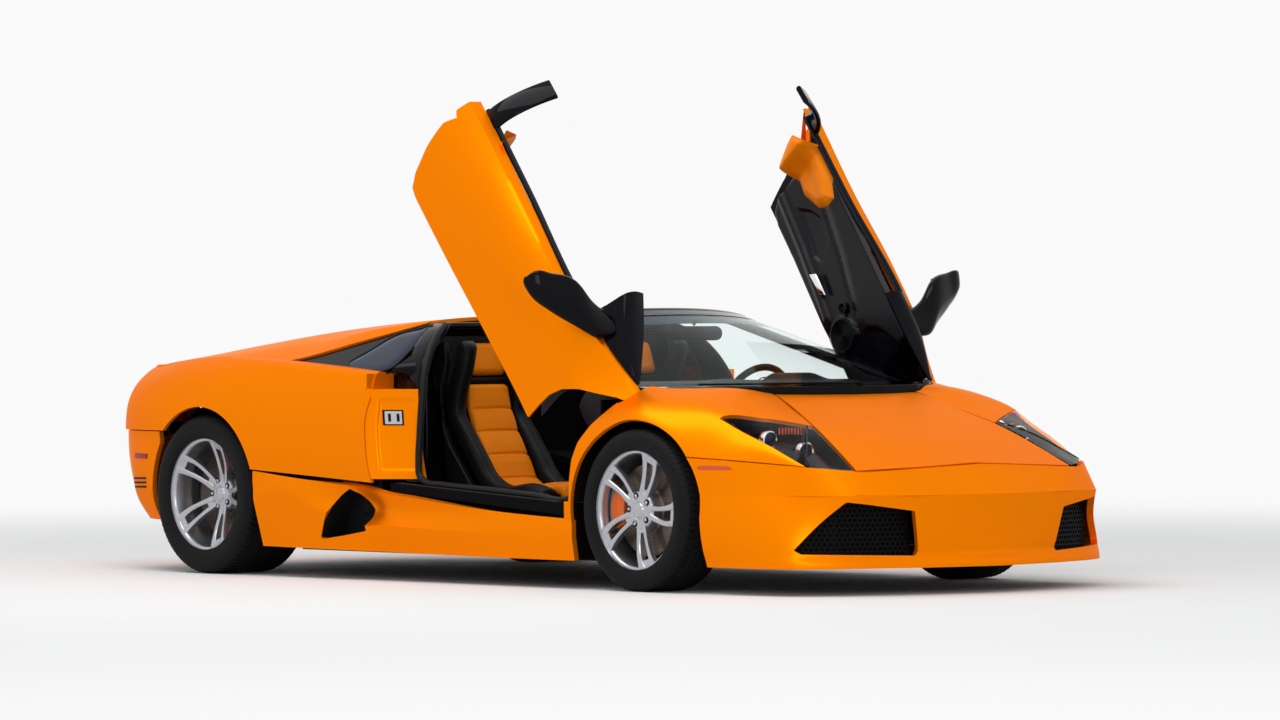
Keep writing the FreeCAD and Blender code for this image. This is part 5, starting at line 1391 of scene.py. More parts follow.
def jamb():
    """Rear face of the opening, with a rounded outer flange and a sunk panel for the latch, then the
    ledge above it and the step up to the deck."""
    edge = border(quarter_skin())
    edge = edge[(edge[:, 0] > -430) & (edge[:, 2] > 395) & (edge[:, 2] < 835)]
    edge = edge[np.argsort(edge[:, 2])]
    shares = np.linspace(0, 1, 36)
    low_z, high_z, inner_y, flange, depth = LATCH_PANEL

    def outer_y(z):
        return np.interp(z, edge[:, 2], edge[:, 1]) - 1.0

    def ys(z):
        return JAMB_INNER_Y + (outer_y(z) - JAMB_INNER_Y) * shares
    rows = []
    for z in np.linspace(JAMB_LOW_Z, SHUT_SHELF_Z - GAP - JAMB_ROOM, 60):
        y = ys(z)
        sunk = smooth((outer_y(z) - flange - y) / 10) * smooth((y - inner_y) / 8)
        sunk *= smooth((high_z - z) / 14) * smooth((z - low_z) / 14)
        rows.append(np.stack([cone_x(y, z) - depth * sunk, y, np.full(len(y), z)], axis=1))
    reach = SHUT_EDGE_R + GAP + JAMB_ROOM
    x, _, z = rows[-1].T
    for step in np.linspace(0.08, 1, 10):
        back = np.minimum(x, on_reach(reach, z))
        rows.append(np.stack([x + (back - x) * step, ys(SHUT_SHELF_Z), z], axis=1))
    for z in np.linspace(SHUT_SHELF_Z, JAMB_HIGH_Z, 10):
        rows.append([(on_reach(reach, z), y, z) for y in ys(z)])
    return np.array(rows).reshape(-1, 3), grid_faces(len(rows), len(shares))


def plate_on_cone(y_range, z_range, lift):
    points = [(cone_x(y, z) + lift, y, z) for z in np.linspace(*z_range, 6)
              for y in np.linspace(*y_range, 6)]
    return np.array(points), grid_faces(6, 6)


def front_jamb():
    """Black wall ahead of the door's front edge, in front of the footwell, put over the inside of the wing
    as painted shade.
    """
    rows = [[(x, y, z) for y in np.linspace(768, 936 - 60 * smooth((z - 560) / 180), 10)]
            for x, z in smooth_line(FOOTWELL_LINE, 30)]
    return np.array(rows).reshape(-1, 3), grid_faces(len(rows), 10)


def openings():
    seal = sweep(smooth_line(SEAL_LINE, 150), SEAL_SECTION, up=(0.2, 1, 0.3))
    filler = loft(list(zip(*[smooth_line(line, 24) for line in FILLER_LINES])), closed=False,
                  caps=False)
    treads = [loft([[(x, y, z), (x, y + 6, z), (x, y + 5, z + 3), (x, y + 1, z + 3)]
                    for x, z in ((790, 337.5), (-225, 393))]) for y in (915, 925, 935)]
    slots = [plate_on_cone((y, y + 7), (640, 672), 0.5) for y in (896, 918)]
    wall = {"thickness": 4.0, "outward": False, "edge": 60.0}
    for name, shape, surface, slot, finish in (
            ("jambs", faced(jamb(), (-900.0, 900.0, 600.0)), PAINT, "orange_paint", wall),
            # The black walls ahead of the doors are painted shade over the inside of the wings.
            ("front_jambs", faced(front_jamb(), (1300.0, 850.0, 500.0)), MATT_BLACK, "cabin_trim", wall),
            ("pillar_fillers", faced(filler, (-600.0, 500.0, 700.0)), GLOSS_BLACK, "gloss_black",
             {**wall, "thickness": 2.0}),
            ("opening_seals", seal, RUBBER, "cabin_trim", {"edge": 70.0}),
            ("latch_surrounds", plate_on_cone((883, 937), (625, 687), -5.0), MATT_BLACK, "cabin_trim",
             {"thickness": 4.0}),
            ("latch_plates", plate_on_cone((888, 932), (630, 682), -3.0), STEEL, "steel",
             {"thickness": 3.0}),
            ("latch_slots", joined(*slots), MATT_BLACK, "cabin_trim", {"thickness": 3.0}),
            ("sill_treads", joined(*treads), RUBBER, "cabin_trim", {})):
        piece(name, both(shape), surface, "body", slot, **finish)


# Seats, drawn on the right at the seat's middle

SEAT_Y = -405.0
BACK_LINE = [(-314, 783), (-288, 690), (-240, 585), (-176, 482), (-126, 398), (-66, 354), (80, 350),
             (240, 366), (318, 352), (334, 316)]
BACK_SEAMS = (0.115, 0.225, 0.345, 0.47, 0.60, 0.74, 0.87)
HEADREST_LINE = [(-358, 950), (-340, 890), (-322, 820)]
BAND_LINE = [(-322, 815), (-317, 787)]
BOLSTER_LINE = [(-226, 962), (-244, 880), (-286, 770), (-304, 668), (-226, 560), (-160, 480),
                (-88, 396), (30, 344), (200, 352), (296, 330)]
SHELL_LINE = [(-384, 985), (-372, 850), (-352, 700), (-318, 520), (-268, 330), (-180, 240), (60, 214),
              (290, 236)]
WING_OUTLINE = [(-392, 930), (-300, 960), (-286, 880), (-322, 770), (-336, 670), (-270, 540),
                (-120, 366), (40, 306), (260, 316), (296, 284), (280, 232), (-150, 222), (-280, 330)]
RUNNER = ([(-220, 152), (290, 152), (290, 172), (-220, 172)], 16)
FEET = (([(-200, 170), (-140, 170), (-120, 232), (-180, 250)], 14),
        ([(170, 170), (230, 170), (220, 228), (190, 226)], 14))
RAIL_DY = 150
# depth and half width of a seam, and how far the ends and the crowns between seams round off
SEAM_DEPTH, SEAM_REACH, END_REACH, CROWN_REACH = 7, 4.5, 26, 40


def oval(half_width, half_depth, power=2.6, sides=30):
    points = []
    for k in range(sides):
        t = 2 * math.pi * k / sides
        c, s = math.cos(t), math.sin(t)
        points.append((half_depth * math.copysign(abs(c)**(2 / power), c),
                       half_width * math.copysign(abs(s)**(2 / power), s)))
    return points


def cushion(line, y, width, depth, seams=(), rings=60, crown=0.0, power=2.6):
    """A stuffed form along a line in the seat's side view. Width and depth are halves at its two
    ends. Seams are shares of the line at which it is drawn in."""
    path = smooth_line([(x, y, z) for x, z in line], rings)
    length = np.linalg.norm(np.diff(path, axis=0), axis=1).sum()

    def section(share):
        end = min(share, 1 - share) * length
        closing = math.sqrt(max(0.0, 1 - (1 - min(1.0, end / END_REACH))**2)) * 0.94 + 0.06
        wide = (width[0] + (width[1] - width[0]) * share) * (0.82 + 0.18 * closing)
        deep = (depth[0] + (depth[1] - depth[0]) * share) * closing
        drawn = sum(math.exp(-((share - seam) * length / SEAM_REACH)**2) for seam in seams)
        swell = crown * min([1.0] + [abs(share - seam) * length / CROWN_REACH for seam in seams])
        lift = swell - SEAM_DEPTH * min(1.0, drawn)
        return [(a + (lift * min(1.0, a / (0.6 * deep)) if a > 0 else 0), b)
                for a, b in oval(wide, deep, power)]
    return sweep(path, section, up=(0, 1, 0))


def plate(outline, y, half):
    """A prism across the car about this y, of this half width."""
    return prism(outline, XZ, y - half, y + half)


def seats():
    back = cushion(BACK_LINE, SEAT_Y, (106, 120), (26, 26), BACK_SEAMS, 260, 5.0, 3.4)
    headrest = cushion(HEADREST_LINE, SEAT_Y, (96, 106), (32, 32), rings=40, power=3.0)
    band = cushion(BAND_LINE, SEAT_Y, (116, 116), (24, 24), rings=14, power=4.0)
    bolsters = [cushion(BOLSTER_LINE, SEAT_Y + dy, (34, 46), (42, 40), rings=90, power=2.3)
                for dy in (158, -158)]
    welts = [tube(smooth_line([(x + 30, SEAT_Y + dy, z + 16) for x, z in BOLSTER_LINE[1:]], 80), 3.0, 6)
             for dy in (186, -186)]
    shell = sweep(smooth_line([(x, SEAT_Y, z) for x, z in SHELL_LINE], 50),
                  lambda share: oval(196 + 26 * smooth(share * 1.6), 19, 5.0, 36), up=(0, 1, 0))
    wings = [plate(WING_OUTLINE[::-1], SEAT_Y + dy, 15) for dy in (211, -211)]
    frame_bars = [plate(outline, SEAT_Y + dy, half) for outline, half in (RUNNER, *FEET)
                  for dy in (-RAIL_DY, RAIL_DY)]
    node = ["seat_{}"]
    soft = {"edge": 80.0, "padded": True}
    on_sides([(name + "_{}", shape, surface, "body", slot, node, finish)
              for name, shape, surface, slot, finish in (
                  ("seat_back_pad", back, ORANGE_LEATHER, "seat_leather", soft),
                  ("seat_headrest", headrest, ORANGE_LEATHER, "seat_leather", soft),
                  ("seat_band", band, LEATHER, "seat_leather", soft),
                  ("seat_bolsters", joined(*bolsters), LEATHER, "seat_leather", soft),
                  ("seat_shell", joined(shell, *wings), LEATHER, "seat_leather",
                   {"bevel": 7.0, "edge": 50.0}),
                  ("seat_welts", joined(*welts), RUBBER, "seat_leather", {}),
                  ("seat_runners", joined(*frame_bars), DARK_METAL, "steel", {"bevel": 2.0}))],
             drawn=-1)


# Cabin

DASH_OUTLINE = [(984, 600), (996, 738), (880, 788), (705, 804), (622, 776), (566, 706), (640, 606),
                (720, 556)]
DRIVER_Y, HOOD_RISE = 385, 34
# y and radius
DIALS = ((330, 46), (440, 46), (385, 26))
VENT_YS = (-590, -300, -60, 60, 200, 590)


def across_car(outline, stations, count=44, change=None):
    """A rounded outline in the side view carried across the car. Stations are pairs of a y and a
    share by which the outline is drawn in towards its middle."""
    ring = rounded_ring(outline, count)
    rings = []
    for y, share in stations:
        shaped = drawn_in(ring, 1 - share)
        rings.append(at_y(change(shaped, y) if change else shaped, y))
    return loft(rings)


def soft_ends(half, count, inset=0.06, reach=14.0):
    inner = np.linspace(-half, half, count)[1:-1]
    ys = np.concatenate([[-half], np.array([2, 5, 9]) - half, inner, half - np.array([9, 5, 2]), [half]])
    return [(y, inset * max(0.0, 1 - (half - abs(y)) / reach)**2) for y in ys]


def hood_rise(y):
    """Height of the hood over the instruments, on the driver's side."""
    return HOOD_RISE * float(smooth(1 - (abs(y - DRIVER_Y) - 90) / 80)) if y > 100 else 0.0


def dashboard():
    def hood(ring, y):
        rise = hood_rise(y) + 8 * smooth(1 - abs(y) / 160)
        ring[:, 1] += rise * np.exp(-((ring[:, 0] - 665) / 70)**2) * (ring[:, 1] > 735)
        return ring

    def facing_driver(profile, sides, lean, place):
        shape = facing_forward(lathe(profile, sides), (0, 0, 0))
        return moved(turned(shape, math.pi - lean), *place)
    piece("dash_pad", across_car(DASH_OUTLINE, soft_ends(655, 80), 56, hood), LEATHER, "body",
          "cabin_trim", ["dashboard"], edge=60.0)
    dials = [facing_driver([(r, 6), (r, -4), (r - 5, -5), (r - 6, 2), (0.1, 2)], 36, 0.35, (588, y, 752))
             for y, r in DIALS]
    piece("dash_dials", joined(*dials), GLOSS_BLACK, "body", "cabin_trim", outward=False)
    vents = []
    for y in VENT_YS:
        vents.append(facing_driver([(34, 8), (34, -4), (29, -6), (27, 2), (0.1, 2)], 32, 0.5,
                                   (585, y, 722)))
        vents += [moved(prism([(-3, -1), (3, -1), (3, 1), (-3, 1)], XZ, -25, 25), 578 + k * 2.5, y,
                        722 + k * 9) for k in range(-2, 3)]
    piece("dash_vents", joined(*vents), MATT_BLACK, "body", "cabin_trim", outward=False)
    seam = smooth_line([(612, y, 776 + hood_rise(y)) for y in range(-640, 641, 40)], 120)
    piece("dash_seam", tube(seam, 2.4, 6), RUBBER, "body", "cabin_trim")


CONSOLE_OUTLINE = [(-412, 398), (-412, 514), (-60, 472), (290, 456), (520, 596), (585, 640),
                   (640, 600), (716, 546), (745, 400)]
KNOB_PROFILE = [(0.1, -24), (10, -23), (19, -16), (23, -4), (22, 8), (14, 19), (7, 25)]


def console():
    slots = [plate([(80, 466), (208, 460), (208, 461.5), (80, 467.5)], y, 4) for y in (-20, 0, 20)]
    knob = turned(lathe(KNOB_PROFILE, 28), math.pi / 2, "X")
    dial = turned(lathe([(13, 0), (13, -9), (10, -12), (0.1, -12)], 24), -0.9, "X")
    for name, shape, surface, slot, nodes, finish in (
            ("console_body", across_car(CONSOLE_OUTLINE, soft_ends(104, 14, 0.03), 60), LEATHER,
             "cabin_trim", ["centre_console"], {"edge": 60.0}),
            ("gear_gate", plate([(60, 463), (230, 456), (230, 460), (60, 467)], 0, 38), STEEL, "steel",
             [], {"bevel": 1.5}),
            ("gear_slots", joined(*slots), MATT_BLACK, "cabin_trim", [], {}),
            ("gear_lever", tube([(144, 0, 458), (146, 0, 500), (142, 0, 535)], 6.0, 12), CHROME,
             "steel", [], {}),
            ("gear_knob", moved(knob, 142, 0, 552), GLOSS_BLACK, "cabin_trim", [], {}),
            ("handbrake", tube([(-120, 62, 470), (-40, 62, 500), (60, 62, 508)], 11.0, 14), LEATHER,
             "cabin_trim", [], {"round_off": 1}),
            ("radio_blank", plate([(420, 540), (470, 575), (462, 582), (412, 547)], 0, 80), GLOSS_BLACK,
             "cabin_trim", [], {"bevel": 2.0}),
            ("heater_knobs", joined(*[moved(dial, 365, y, 508) for y in (-55, 0, 55)]), MATT_BLACK,
             "cabin_trim", [], {"outward": False})):
        piece(name, shape, surface, "body", slot, nodes, **finish)


WHEEL_PLACE = (452.0, 385.0, 690.0)
WHEEL_TILT = math.atan2(-0.93, 0.37)
# reach, half width, thickness and height
WHEEL_SPOKE = ((56, 24, 9, 0), (90, 17, 6, -5), (125, 15, 5, -4), (150, 18, 6, -1), (168, 24, 8, 0))
# radius and height
WHEEL_HUB = ((30, -38), (52, -30), (66, -8), (68, 0), (62, 8), (44, 14), (18, 17))
COLUMN = ((30, -48), (38, -58), (44, -120), (40, -190))


def stack(rings, sides, wide=1.0, high=1.0):
    """Rings of a radius and a height about the steering wheel's axis, as ovals where asked."""
    turns = np.linspace(0, 2 * math.pi, sides, endpoint=False)
    return loft([[(r * math.cos(t) * wide, r * math.sin(t) * high, h) for t in turns] for r, h in rings])


def steering():
    rim = tube([(x, y, 0) for x, y in circle(172, 96)], 14.5, 16, closed=True)
    spoke = loft([[(reach, half * across_share, height + thick * up) for across_share, up in
                   ((1, 0), (0.7, 1), (-0.7, 1), (-1, 0), (-0.7, -1), (0.7, -1))]
                  for reach, half, thick, height in WHEEL_SPOKE])
    inlay = loft([[(reach, half * across_share, height + thick + rise) for across_share, rise in
                   ((0.45, 0), (0.4, 1.5), (-0.4, 1.5), (-0.45, 0))]
                  for reach, half, thick, height in WHEEL_SPOKE[1:4]])
    spokes, inlays = [joined(*[turned(shape, math.radians(angle), "Z") for angle in (90, -90, 180)])
                      for shape in (spoke, inlay)]
    stalks = []
    for sign in (1, -1):
        line = [(0, sign * 30, -64), (0, sign * 90, -60), (6, sign * 150, -52)]
        stalks.append(tube(smooth_line(line, 10), 6.0, 10))
    wheel, node = "steering_wheel", ["steering_wheel"]
    for name, shape, surface, body, slot, nodes, finish in (
            ("wheel_rim", rim, LEATHER, wheel, "wheel_leather", node, {}),
            ("wheel_hub", stack(WHEEL_HUB, 40, wide=0.86), LEATHER, wheel, "wheel_leather", node,
             {"edge": 60.0}),
            ("wheel_spokes", spokes, MATT_BLACK, wheel, "wheel_leather", node, {"round_off": 1}),
            ("wheel_inlays", inlays, STEEL, wheel, "steel", [], {}),
            ("column_shroud", stack(COLUMN, 28, high=1.15), MATT_BLACK, "body", "cabin_trim",
             ["steering_column"], {"edge": 60.0}),
            ("column_stalks", joined(*stalks), MATT_BLACK, "body", "cabin_trim", [], {})):
        piece(name, moved(turned(shape, WHEEL_TILT), *WHEEL_PLACE), surface, body, slot, nodes, **finish)


# front and rear x, inner and outer y, and z of the pillar behind the door
PILLAR = ((-186, -300, 796, 842, 398), (-184, -310, 792, 842, 560), (-193, -330, 788, 838, 730),
          (-206, -338, 770, 820, 830), (-216, -342, 742, 796, 885), (-246, -352, 690, 744, 945),
          (-288, -380, 620, 674, 1000), (-318, -412, 552, 604, 1034))
HOOP_LINE = [(262, 768), (262, 940), (290, 992), (340, 1010), (482, 1010), (532, 992), (560, 940),
             (560, 768)]


def rear_of_cabin():
    pillar = loft([[(x, y, z) for x, y in
                    rounded_ring([(x0, y0 + 6), (x0 - 4, y1), (x1, y1), (x1, y0)], 24)]
                   for x0, x1, y0, y1, z in PILLAR])
    bar = across_car([(-412, 998), (-408, 1036), (-322, 1037), (-318, 1012), (-360, 1000)],
                     [(y, 0.0) for y in np.linspace(-590, 590, 12)], 28)
    hoops = [tube(smooth_line([(-404, sign * y, z) for y, z in HOOP_LINE], 60), 13.0, 14, up=(1, 0, 0))
             for sign in (1, -1)]
    node = ["cabin_rear_frame"]
    piece("pillar_trim", both(pillar), GLOSS_BLACK, "body", "gloss_black", node, edge=60.0)
    piece("rear_cross_bar", bar, GLOSS_BLACK, "body", "gloss_black", node, edge=60.0)
    piece("headrest_hoops", joined(*hoops), MATT_BLACK, "body", "gloss_black", node)


MIRROR_TURN, MIRROR_X = math.radians(-14.6), 517.0
MIRROR_SECTION = [(507, 966), (526, 958), (533, 1010), (514, 1021)]


def inside_mirror():
    def place(shape):
        return turned(shape, MIRROR_TURN, "Z", (MIRROR_X, 0.0, 0.0))
    ring = rounded_ring(MIRROR_SECTION, 24, 0.3)
    ends = np.array([112, 120, 125, 127])
    rings = [at_y(drawn_in(ring, math.sqrt(max(0.02, 1 - max(0.0, (abs(y) - 100) / 27.5)**2))), y)
             for y in np.concatenate([-ends[::-1], np.linspace(-100, 100, 9), ends])]
    glass = []
    for y in np.linspace(-114, 114, 13):
        lift = 24 * math.sqrt(max(0.0, 1 - (y / 118)**6))
        glass.append([(507, y, 992 + lift), (506, y, 991 - lift)])
    stalk = tube([(521, 0, 1012), (522, 0, 1026), (520, 0, 1037)], 8.0, 14)
    foot = turned(lathe([(0.1, -3), (14, -3), (16, 1), (16, 4)], 24), math.pi / 2, "X")
    piece("inside_mirror_shell", joined(place(loft(rings)), stalk), GLOSS_BLACK, "body", "gloss_black",
          ["interior_mirror"], edge=60.0)
    piece("inside_mirror_foot", moved(foot, 520, 0, 1036), GLOSS_BLACK, "body", "gloss_black",
          outward=False)
    piece("inside_mirror_glass", place(loft(glass, closed=False, caps=False)), DARK_GLASS, "body",
          "gloss_black", outward=False)


def wipers():
    blade, arm = [], []
    for y in np.linspace(-590, 60, 40):
        x, z = arc_point(SCREEN_BASE, SCREEN_BASE_MID, abs(y))
        blade.append((x + 22, y, z + 8))
    for y in np.linspace(-330, 80, 24):
        x, z = arc_point(SCREEN_BASE, SCREEN_BASE_MID, abs(y))
        arm.append((x + 34 + 6 * smooth((y + 100) / 150), y, z + 9))
    x, y, z = arm[-1]
    pivot = turned(lathe([(0.1, -10), (13, -10), (15, -6), (15, 6)], 24), math.pi / 2, "X")
    piece("wiper_arm", joined(tube(blade, 4.0, 8), tube(arm, 6.0, 8, squash=0.7)), MATT_BLACK, "body",
          "black_plastic", ["wiper"])
    piece("wiper_pivot", moved(pivot, x, y, z - 3), MATT_BLACK, "body", "black_plastic", outward=False)


# Rear, sides and what is carried over from the solids

LOUVRES = 6
LOUVRE_FIRST_X, LOUVRE_PITCH, LOUVRE_OPENING, LOUVRE_HALF = -780.0, 130.0, 84.0, 300.0
# height of the slats at this x, and their slope
LOUVRE_Z, LOUVRE_Z_X, LOUVRE_SLOPE = 1040, -700, 0.09
# corners of the sloping panel beside the engine cover, and x and z of the glass in it
BUTTRESS = ((-424, 620, 1028), (-300, 888, 834), (-985, 872, 876))
BUTTRESS_GLASS = [(-640, 862), (-590, 930), (-540, 985), (-450, 1008), (-362, 1022), (-354, 960),
                  (-352, 838)]
BUTTRESS_ROWS = 40
MARKER_OUTLINE = [(1565, 478), (1572, 489), (1600, 492), (1700, 489), (1715, 482), (1705, 475),
                  (1600, 474)]
REFLECTOR_OUTLINE = [(-1960, 470), (-1840, 470), (-1834, 490), (-1954, 492)]
VENT_SLOT_ZS = (380, 362, 344)
LAMP_FACE_X = -2000
CHEVRON_YS = (520, 590, 660)
CHEVRON = ((0, 656), (34, 656), (16, 720), (34, 784), (0, 784), (-18, 720))
EXHAUST_PLACE = (-2120, 0, EXHAUST_Z)
# share of the scoop's outline, depth behind the skirt, and greatest y
SCOOP_STEPS = ((1.01, 3, 2000), (0.98, 16, 2000), (0.93, 34, 940), (0.86, 46, 900), (0.04, 48, 893))


def louvre_places():
    return [LOUVRE_FIRST_X - index * LOUVRE_PITCH for index in range(LOUVRES)]


def louvres():
    slats = []
    for x in louvre_places():
        z = LOUVRE_Z + (x - LOUVRE_Z_X) * LOUVRE_SLOPE
        back = x - LOUVRE_OPENING + 10
        slats.append(prism([(x + 6, z - 13), (back, z - 3), (back, z - 8), (x + 6, z - 19)], XZ,
                           -LOUVRE_HALF - 4, LOUVRE_HALF + 4))
    piece("cover_louvres", joined(*slats), MATT_BLACK, "engine_cover", "orange_paint", bevel=1.5)


def louvre_windows():
    half = LOUVRE_HALF
    return [beyond([(x, -half), (x, half), (x - LOUVRE_OPENING, half), (x - LOUVRE_OPENING, -half)], XY)
            for x in louvre_places()]


def buttress_windows():
    corners = np.array(BUTTRESS, float)
    u = corners[2] - corners[0]
    w = corners[1] - corners[0]
    normal = np.cross(w, u)
    normal /= np.linalg.norm(normal)
    if normal[2] < 0:
        normal = -normal
    rows = BUTTRESS_ROWS
    cells = [(i, j) for i in range(rows + 1) for j in range(rows + 1 - i)]
    index = {cell: place for place, cell in enumerate(cells)}
    points = np.array([corners[0] + u * (i / rows) + w * (j / rows) for i, j in cells])
    faces = []
    for i, j in cells:
        if i + j < rows:
            faces.append([index[i, j], index[i + 1, j], index[i, j + 1]])
        if i + j < rows - 1:
            faces.append([index[i + 1, j], index[i + 1, j + 1], index[i, j + 1]])
    surround = clip((points - normal, faces), beyond(BUTTRESS_GLASS, XZ, -4.0),
                    opposite(door_cone(GAP + 2)))
    panel("buttress_surrounds", both(faced(surround, (-600.0, 600.0, 700.0))), "body",
          "buttress_panels", GLOSS_BLACK, "dark_glass", thickness=8.0, middle=(-600.0, 0.0, -5000.0))
    x, z = rounded_ring(BUTTRESS_GLASS, 70, 0.10).T
    drop = ((x - corners[0][0]) * normal[0] + (z - corners[0][2]) * normal[2]) / normal[1]
    plane = np.stack([x, corners[0][1] - drop, z], axis=1)
    dome = [drawn_in(plane, share) + normal * lift
            for share, lift in ((1.0, 1.0), (0.97, 2.5), (0.6, 4.0), (0.05, 4.5))]
    piece("buttress_glass", both(loft(dome)), DARK_GLASS, "body", "dark_glass", ["buttress_panels"],
          edge=60.0)
    piece("buttress_glass_seal", both(tube(plane + normal * 1.5, 3.5, 8, closed=True)), RUBBER, "body",
          "dark_glass")


def side_patch(levels, pitch, outline):
    return clip(skin(levels, along=2, blur=1, pitch=pitch), within(outline, XZ))


def small_lamps():
    marker = faced(side_patch(NOSE_LEVELS[NOSE_CREASE:], 5.0, MARKER_OUTLINE), (1600.0, 0.0, 400.0))
    reflector = side_patch(TAIL_LEVELS, 6.0, REFLECTOR_OUTLINE)
    slots = [side_patch(TAIL_LEVELS, 5.0, [(-2000, z), (-1850, z + 4), (-1850, z + 12), (-2000, z + 8)])
             for z in VENT_SLOT_ZS]
    for name, shape, lift, surface, slot, thickness in (
            ("side_markers", marker, 1.5, AMBER, "lamp", 3.0),
            ("rear_reflectors", reflector, 1.5, RED_LENS, "tail_lamp", 3.0),
            ("rear_vent_slots", joined(*slots), 0.8, MATT_BLACK, "black_plastic", 2.0)):
        piece(name, both(moved(shape, y=lift)), surface, "body", slot, thickness=thickness,
              outward=False)


def tail_lamps():
    levels = skin(TAIL_LEVELS, along=2, blur=2, pitch=8.0)
    ahead = past(0, LAMP_FACE_X, -1)
    lens = faced(clip(levels, within(LAMP_WINDOW, YZ, 8.0), ahead), TAIL_MIDDLE)
    panel("tail_lenses", both(moved(lens, 20, -3, 0)), "body", "tail_lamps", RED_LENS, "tail_lamp",
          thickness=5.0, middle=TAIL_MIDDLE)
    bars = [moved(clip(levels, within([(place + y, z) for y, z in CHEVRON], YZ), ahead), 16, -2, 0)
            for place in CHEVRON_YS]
    bright = material("tail_lamp_chevrons", (0.75, 0.012, 0.01), 0.2, scale=250.0, bump=0.3,
                      Specular_IOR_Level=0.2)
    piece("tail_lamp_chevrons", both(joined(*bars)), bright, "body", "tail_lamp", thickness=3.0)


def exhaust_end():
    for name, profile, sides, surface in (
            ("exhaust_pipe", [(56, 150), (60, 158), (62, 156), (62, 0), (57, 0), (56, 150)], 48, CHROME),
            ("exhaust_inside", [(55, 120), (52, 60), (52, 6), (0.1, 6)], 40, DARK_METAL)):
        pipe = turned(lathe(profile, sides), math.pi / 2, "Z")
        piece(name, moved(pipe, *EXHAUST_PLACE), surface, "body", "steel", outward=False)


def scoops():
    """The dark duct within each side scoop."""
    outside = skirt_skin()[0]
    rings = []
    for share, drop, deepest in SCOOP_STEPS:
        spots = []
        for x, z in drawn_in(np.array(SCOOP_OUTLINE, float), share):
            near = outside[np.hypot(outside[:, 0] - x, outside[:, 2] - z).argmin(), 1]
            spots.append((x, min(near - drop, deepest), z))
        rings.append(spots)
    piece("scoop_ducts", both(loft(rings, caps=False)), MATT_BLACK, "body", "black_plastic",
          thickness=2.0, outward=False)


SURFACES = {
    MATT_BLACK: ("cowl_panel", "undertray", "diffuser", "wheel_liners"),
    CARPET: ("cabin_tub", "luggage_tub"),
    STEEL: ("exhaust",),
    DARK_METAL: ("engine_block", "front_wishbones", "rear_suspension", "front_upright_left",
                 "front_upright_right"),
}


def dress_solids():
    for surface, nodes in SURFACES.items():
        for node in nodes:
            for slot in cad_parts[node].material_slots:
                slot.material = surface


# Studio: light from all round, and white where the camera, mirrors and glass look past the car

SOFT_LEVEL = 0.55
WHITE_LEVEL = 0.95
FLOOR_NEAR, FLOOR_FAR, FLOOR_HALF = 2.4, 11.0, 60.0


def soft_light(name, place, aim, energy, size):
    lamp = bpy.data.lights.new(name, "AREA")
    lamp.energy = energy
    lamp.shape = "RECTANGLE"
    lamp.size, lamp.size_y = size
    made = bpy.data.objects.new(name, lamp)
    made.location = place
    made.rotation_euler = (Vector(aim) - Vector(place)).to_track_quat("-Z", "Y").to_euler()
    bpy.context.collection.objects.link(made)


def seen_directly(tree):
    """1 for rays from the camera, mirrors and glass, and 0 for light that falls on things."""
    rays = shader(tree, "LightPath").outputs
    total = rays["Is Camera Ray"]
    for kind in ("Is Glossy Ray", "Is Transmission Ray"):
        larger = shader(tree, "Math", links=[(total, 0), (rays[kind], 1)])
        larger.operation = "MAXIMUM"
        total = larger.outputs[0]
    return total


def studio():
    world = bpy.data.worlds.new("pale_studio")
    bpy.context.scene.world = world
    world.use_nodes = True
    tree = world.node_tree
    soft = tree.nodes["Background"]
    soft.inputs["Color"].default_value = (0.96, 0.98, 1.0, 1)
    soft.inputs["Strength"].default_value = SOFT_LEVEL
    white = shader(tree, "Background", {"Color": (1, 1, 1, 1), "Strength": WHITE_LEVEL})
    mix = shader(tree, "MixShader", links=[(seen_directly(tree), "Fac"), (soft.outputs[0], 1),
                                           (white.outputs[0], 2)])
    tree.links.new(mix.outputs[0], tree.nodes["World Output"].inputs["Surface"])
    pale_floor()
    soft_light("overhead", (0.6, -2.5, 6.5), (0.2, 0.0, 0.4), 260.0, (7.0, 4.0))
    soft_light("front_soft", (9.0, -7.0, 3.6), (1.0, 0.0, 0.6), 150.0, (5.0, 3.0))


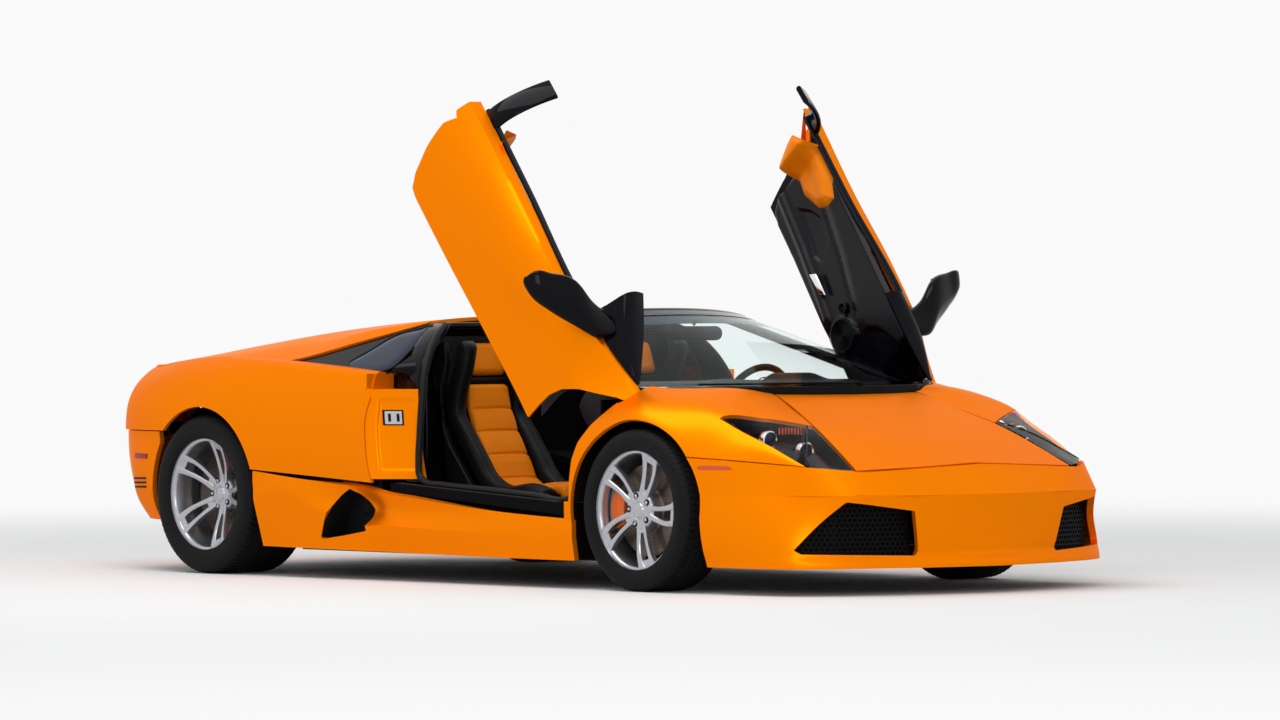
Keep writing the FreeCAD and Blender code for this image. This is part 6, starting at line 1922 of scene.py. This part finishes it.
def pale_floor():
    mesh = bpy.data.meshes.new("floor")
    corners = ((-1, -1), (1, -1), (1, 1), (-1, 1))
    mesh.from_pydata([(x * FLOOR_HALF, y * FLOOR_HALF, 0) for x, y in corners], [], [(0, 1, 2, 3)])
    floor = bpy.data.objects.new("floor", mesh)
    bpy.context.collection.objects.link(floor)
    pale = material("pale_floor", (0.88, 0.88, 0.875), 0.75, scale=3.0, shift=0.02)
    mesh.materials.append(pale)
    tree = pale.node_tree
    place = shader(tree, "TexCoord").outputs["Object"]
    reach = shader(tree, "VectorMath", links=[(place, 0)])
    reach.operation = "LENGTH"
    far = shader(tree, "MapRange", {"From Min": FLOOR_NEAR, "From Max": FLOOR_FAR},
                 [(reach.outputs["Value"], "Value")])
    far.interpolation_type = "SMOOTHSTEP"
    share = shader(tree, "Math", links=[(far.outputs["Result"], 0), (seen_directly(tree), 1)])
    share.operation = "MULTIPLY"
    glow = shader(tree, "Emission", {"Strength": WHITE_LEVEL})
    mix = shader(tree, "MixShader", links=[(share.outputs[0], "Fac"), (glow.outputs[0], 2),
                                           (tree.nodes["Principled BSDF"].outputs[0], 1)])
    tree.links.new(mix.outputs[0], tree.nodes["Material Output"].inputs["Surface"])
    return floor


# The camera of the photo, solved from the wheels, tyres and known sizes
CAMERA_PLACE = (21.066, -17.812, 1.112)
CAMERA_LOOK = (-0.7608, 0.6490, -0.0084)
CAMERA_ROLL = math.radians(0.2507)
FOCAL_PIXELS = 6765.8
FRAME_WIDTH = 1280.0
SENSOR = 36.0


def camera():
    lens = bpy.data.cameras.new("photo_camera")
    lens.sensor_width = SENSOR
    lens.lens = FOCAL_PIXELS / FRAME_WIDTH * SENSOR
    lens.clip_end = 200.0
    made = bpy.data.objects.new("photo_camera", lens)
    bpy.context.collection.objects.link(made)
    look = Vector(CAMERA_LOOK).normalized()
    turn = look.to_track_quat("-Z", "Y").to_matrix() @ Matrix.Rotation(-CAMERA_ROLL, 3, "Z")
    made.matrix_world = Matrix.Translation(CAMERA_PLACE) @ turn.to_4x4()
    bpy.context.scene.camera = made


for make in (bonnet, front_wings, front_bumper, side_skirts, rear_body, tail, door_shells, wheels,
             headlamps, intake_grilles, rear_grille, windscreen, door_frames, door_insides,
             openings, seats, dashboard, console, steering, rear_of_cabin, inside_mirror, wipers,
             louvres, buttress_windows, small_lamps, tail_lamps, exhaust_end, scoops,
             dress_solids, studio, camera):
    make()

bpy.context.scene.view_settings.view_transform = "Standard"
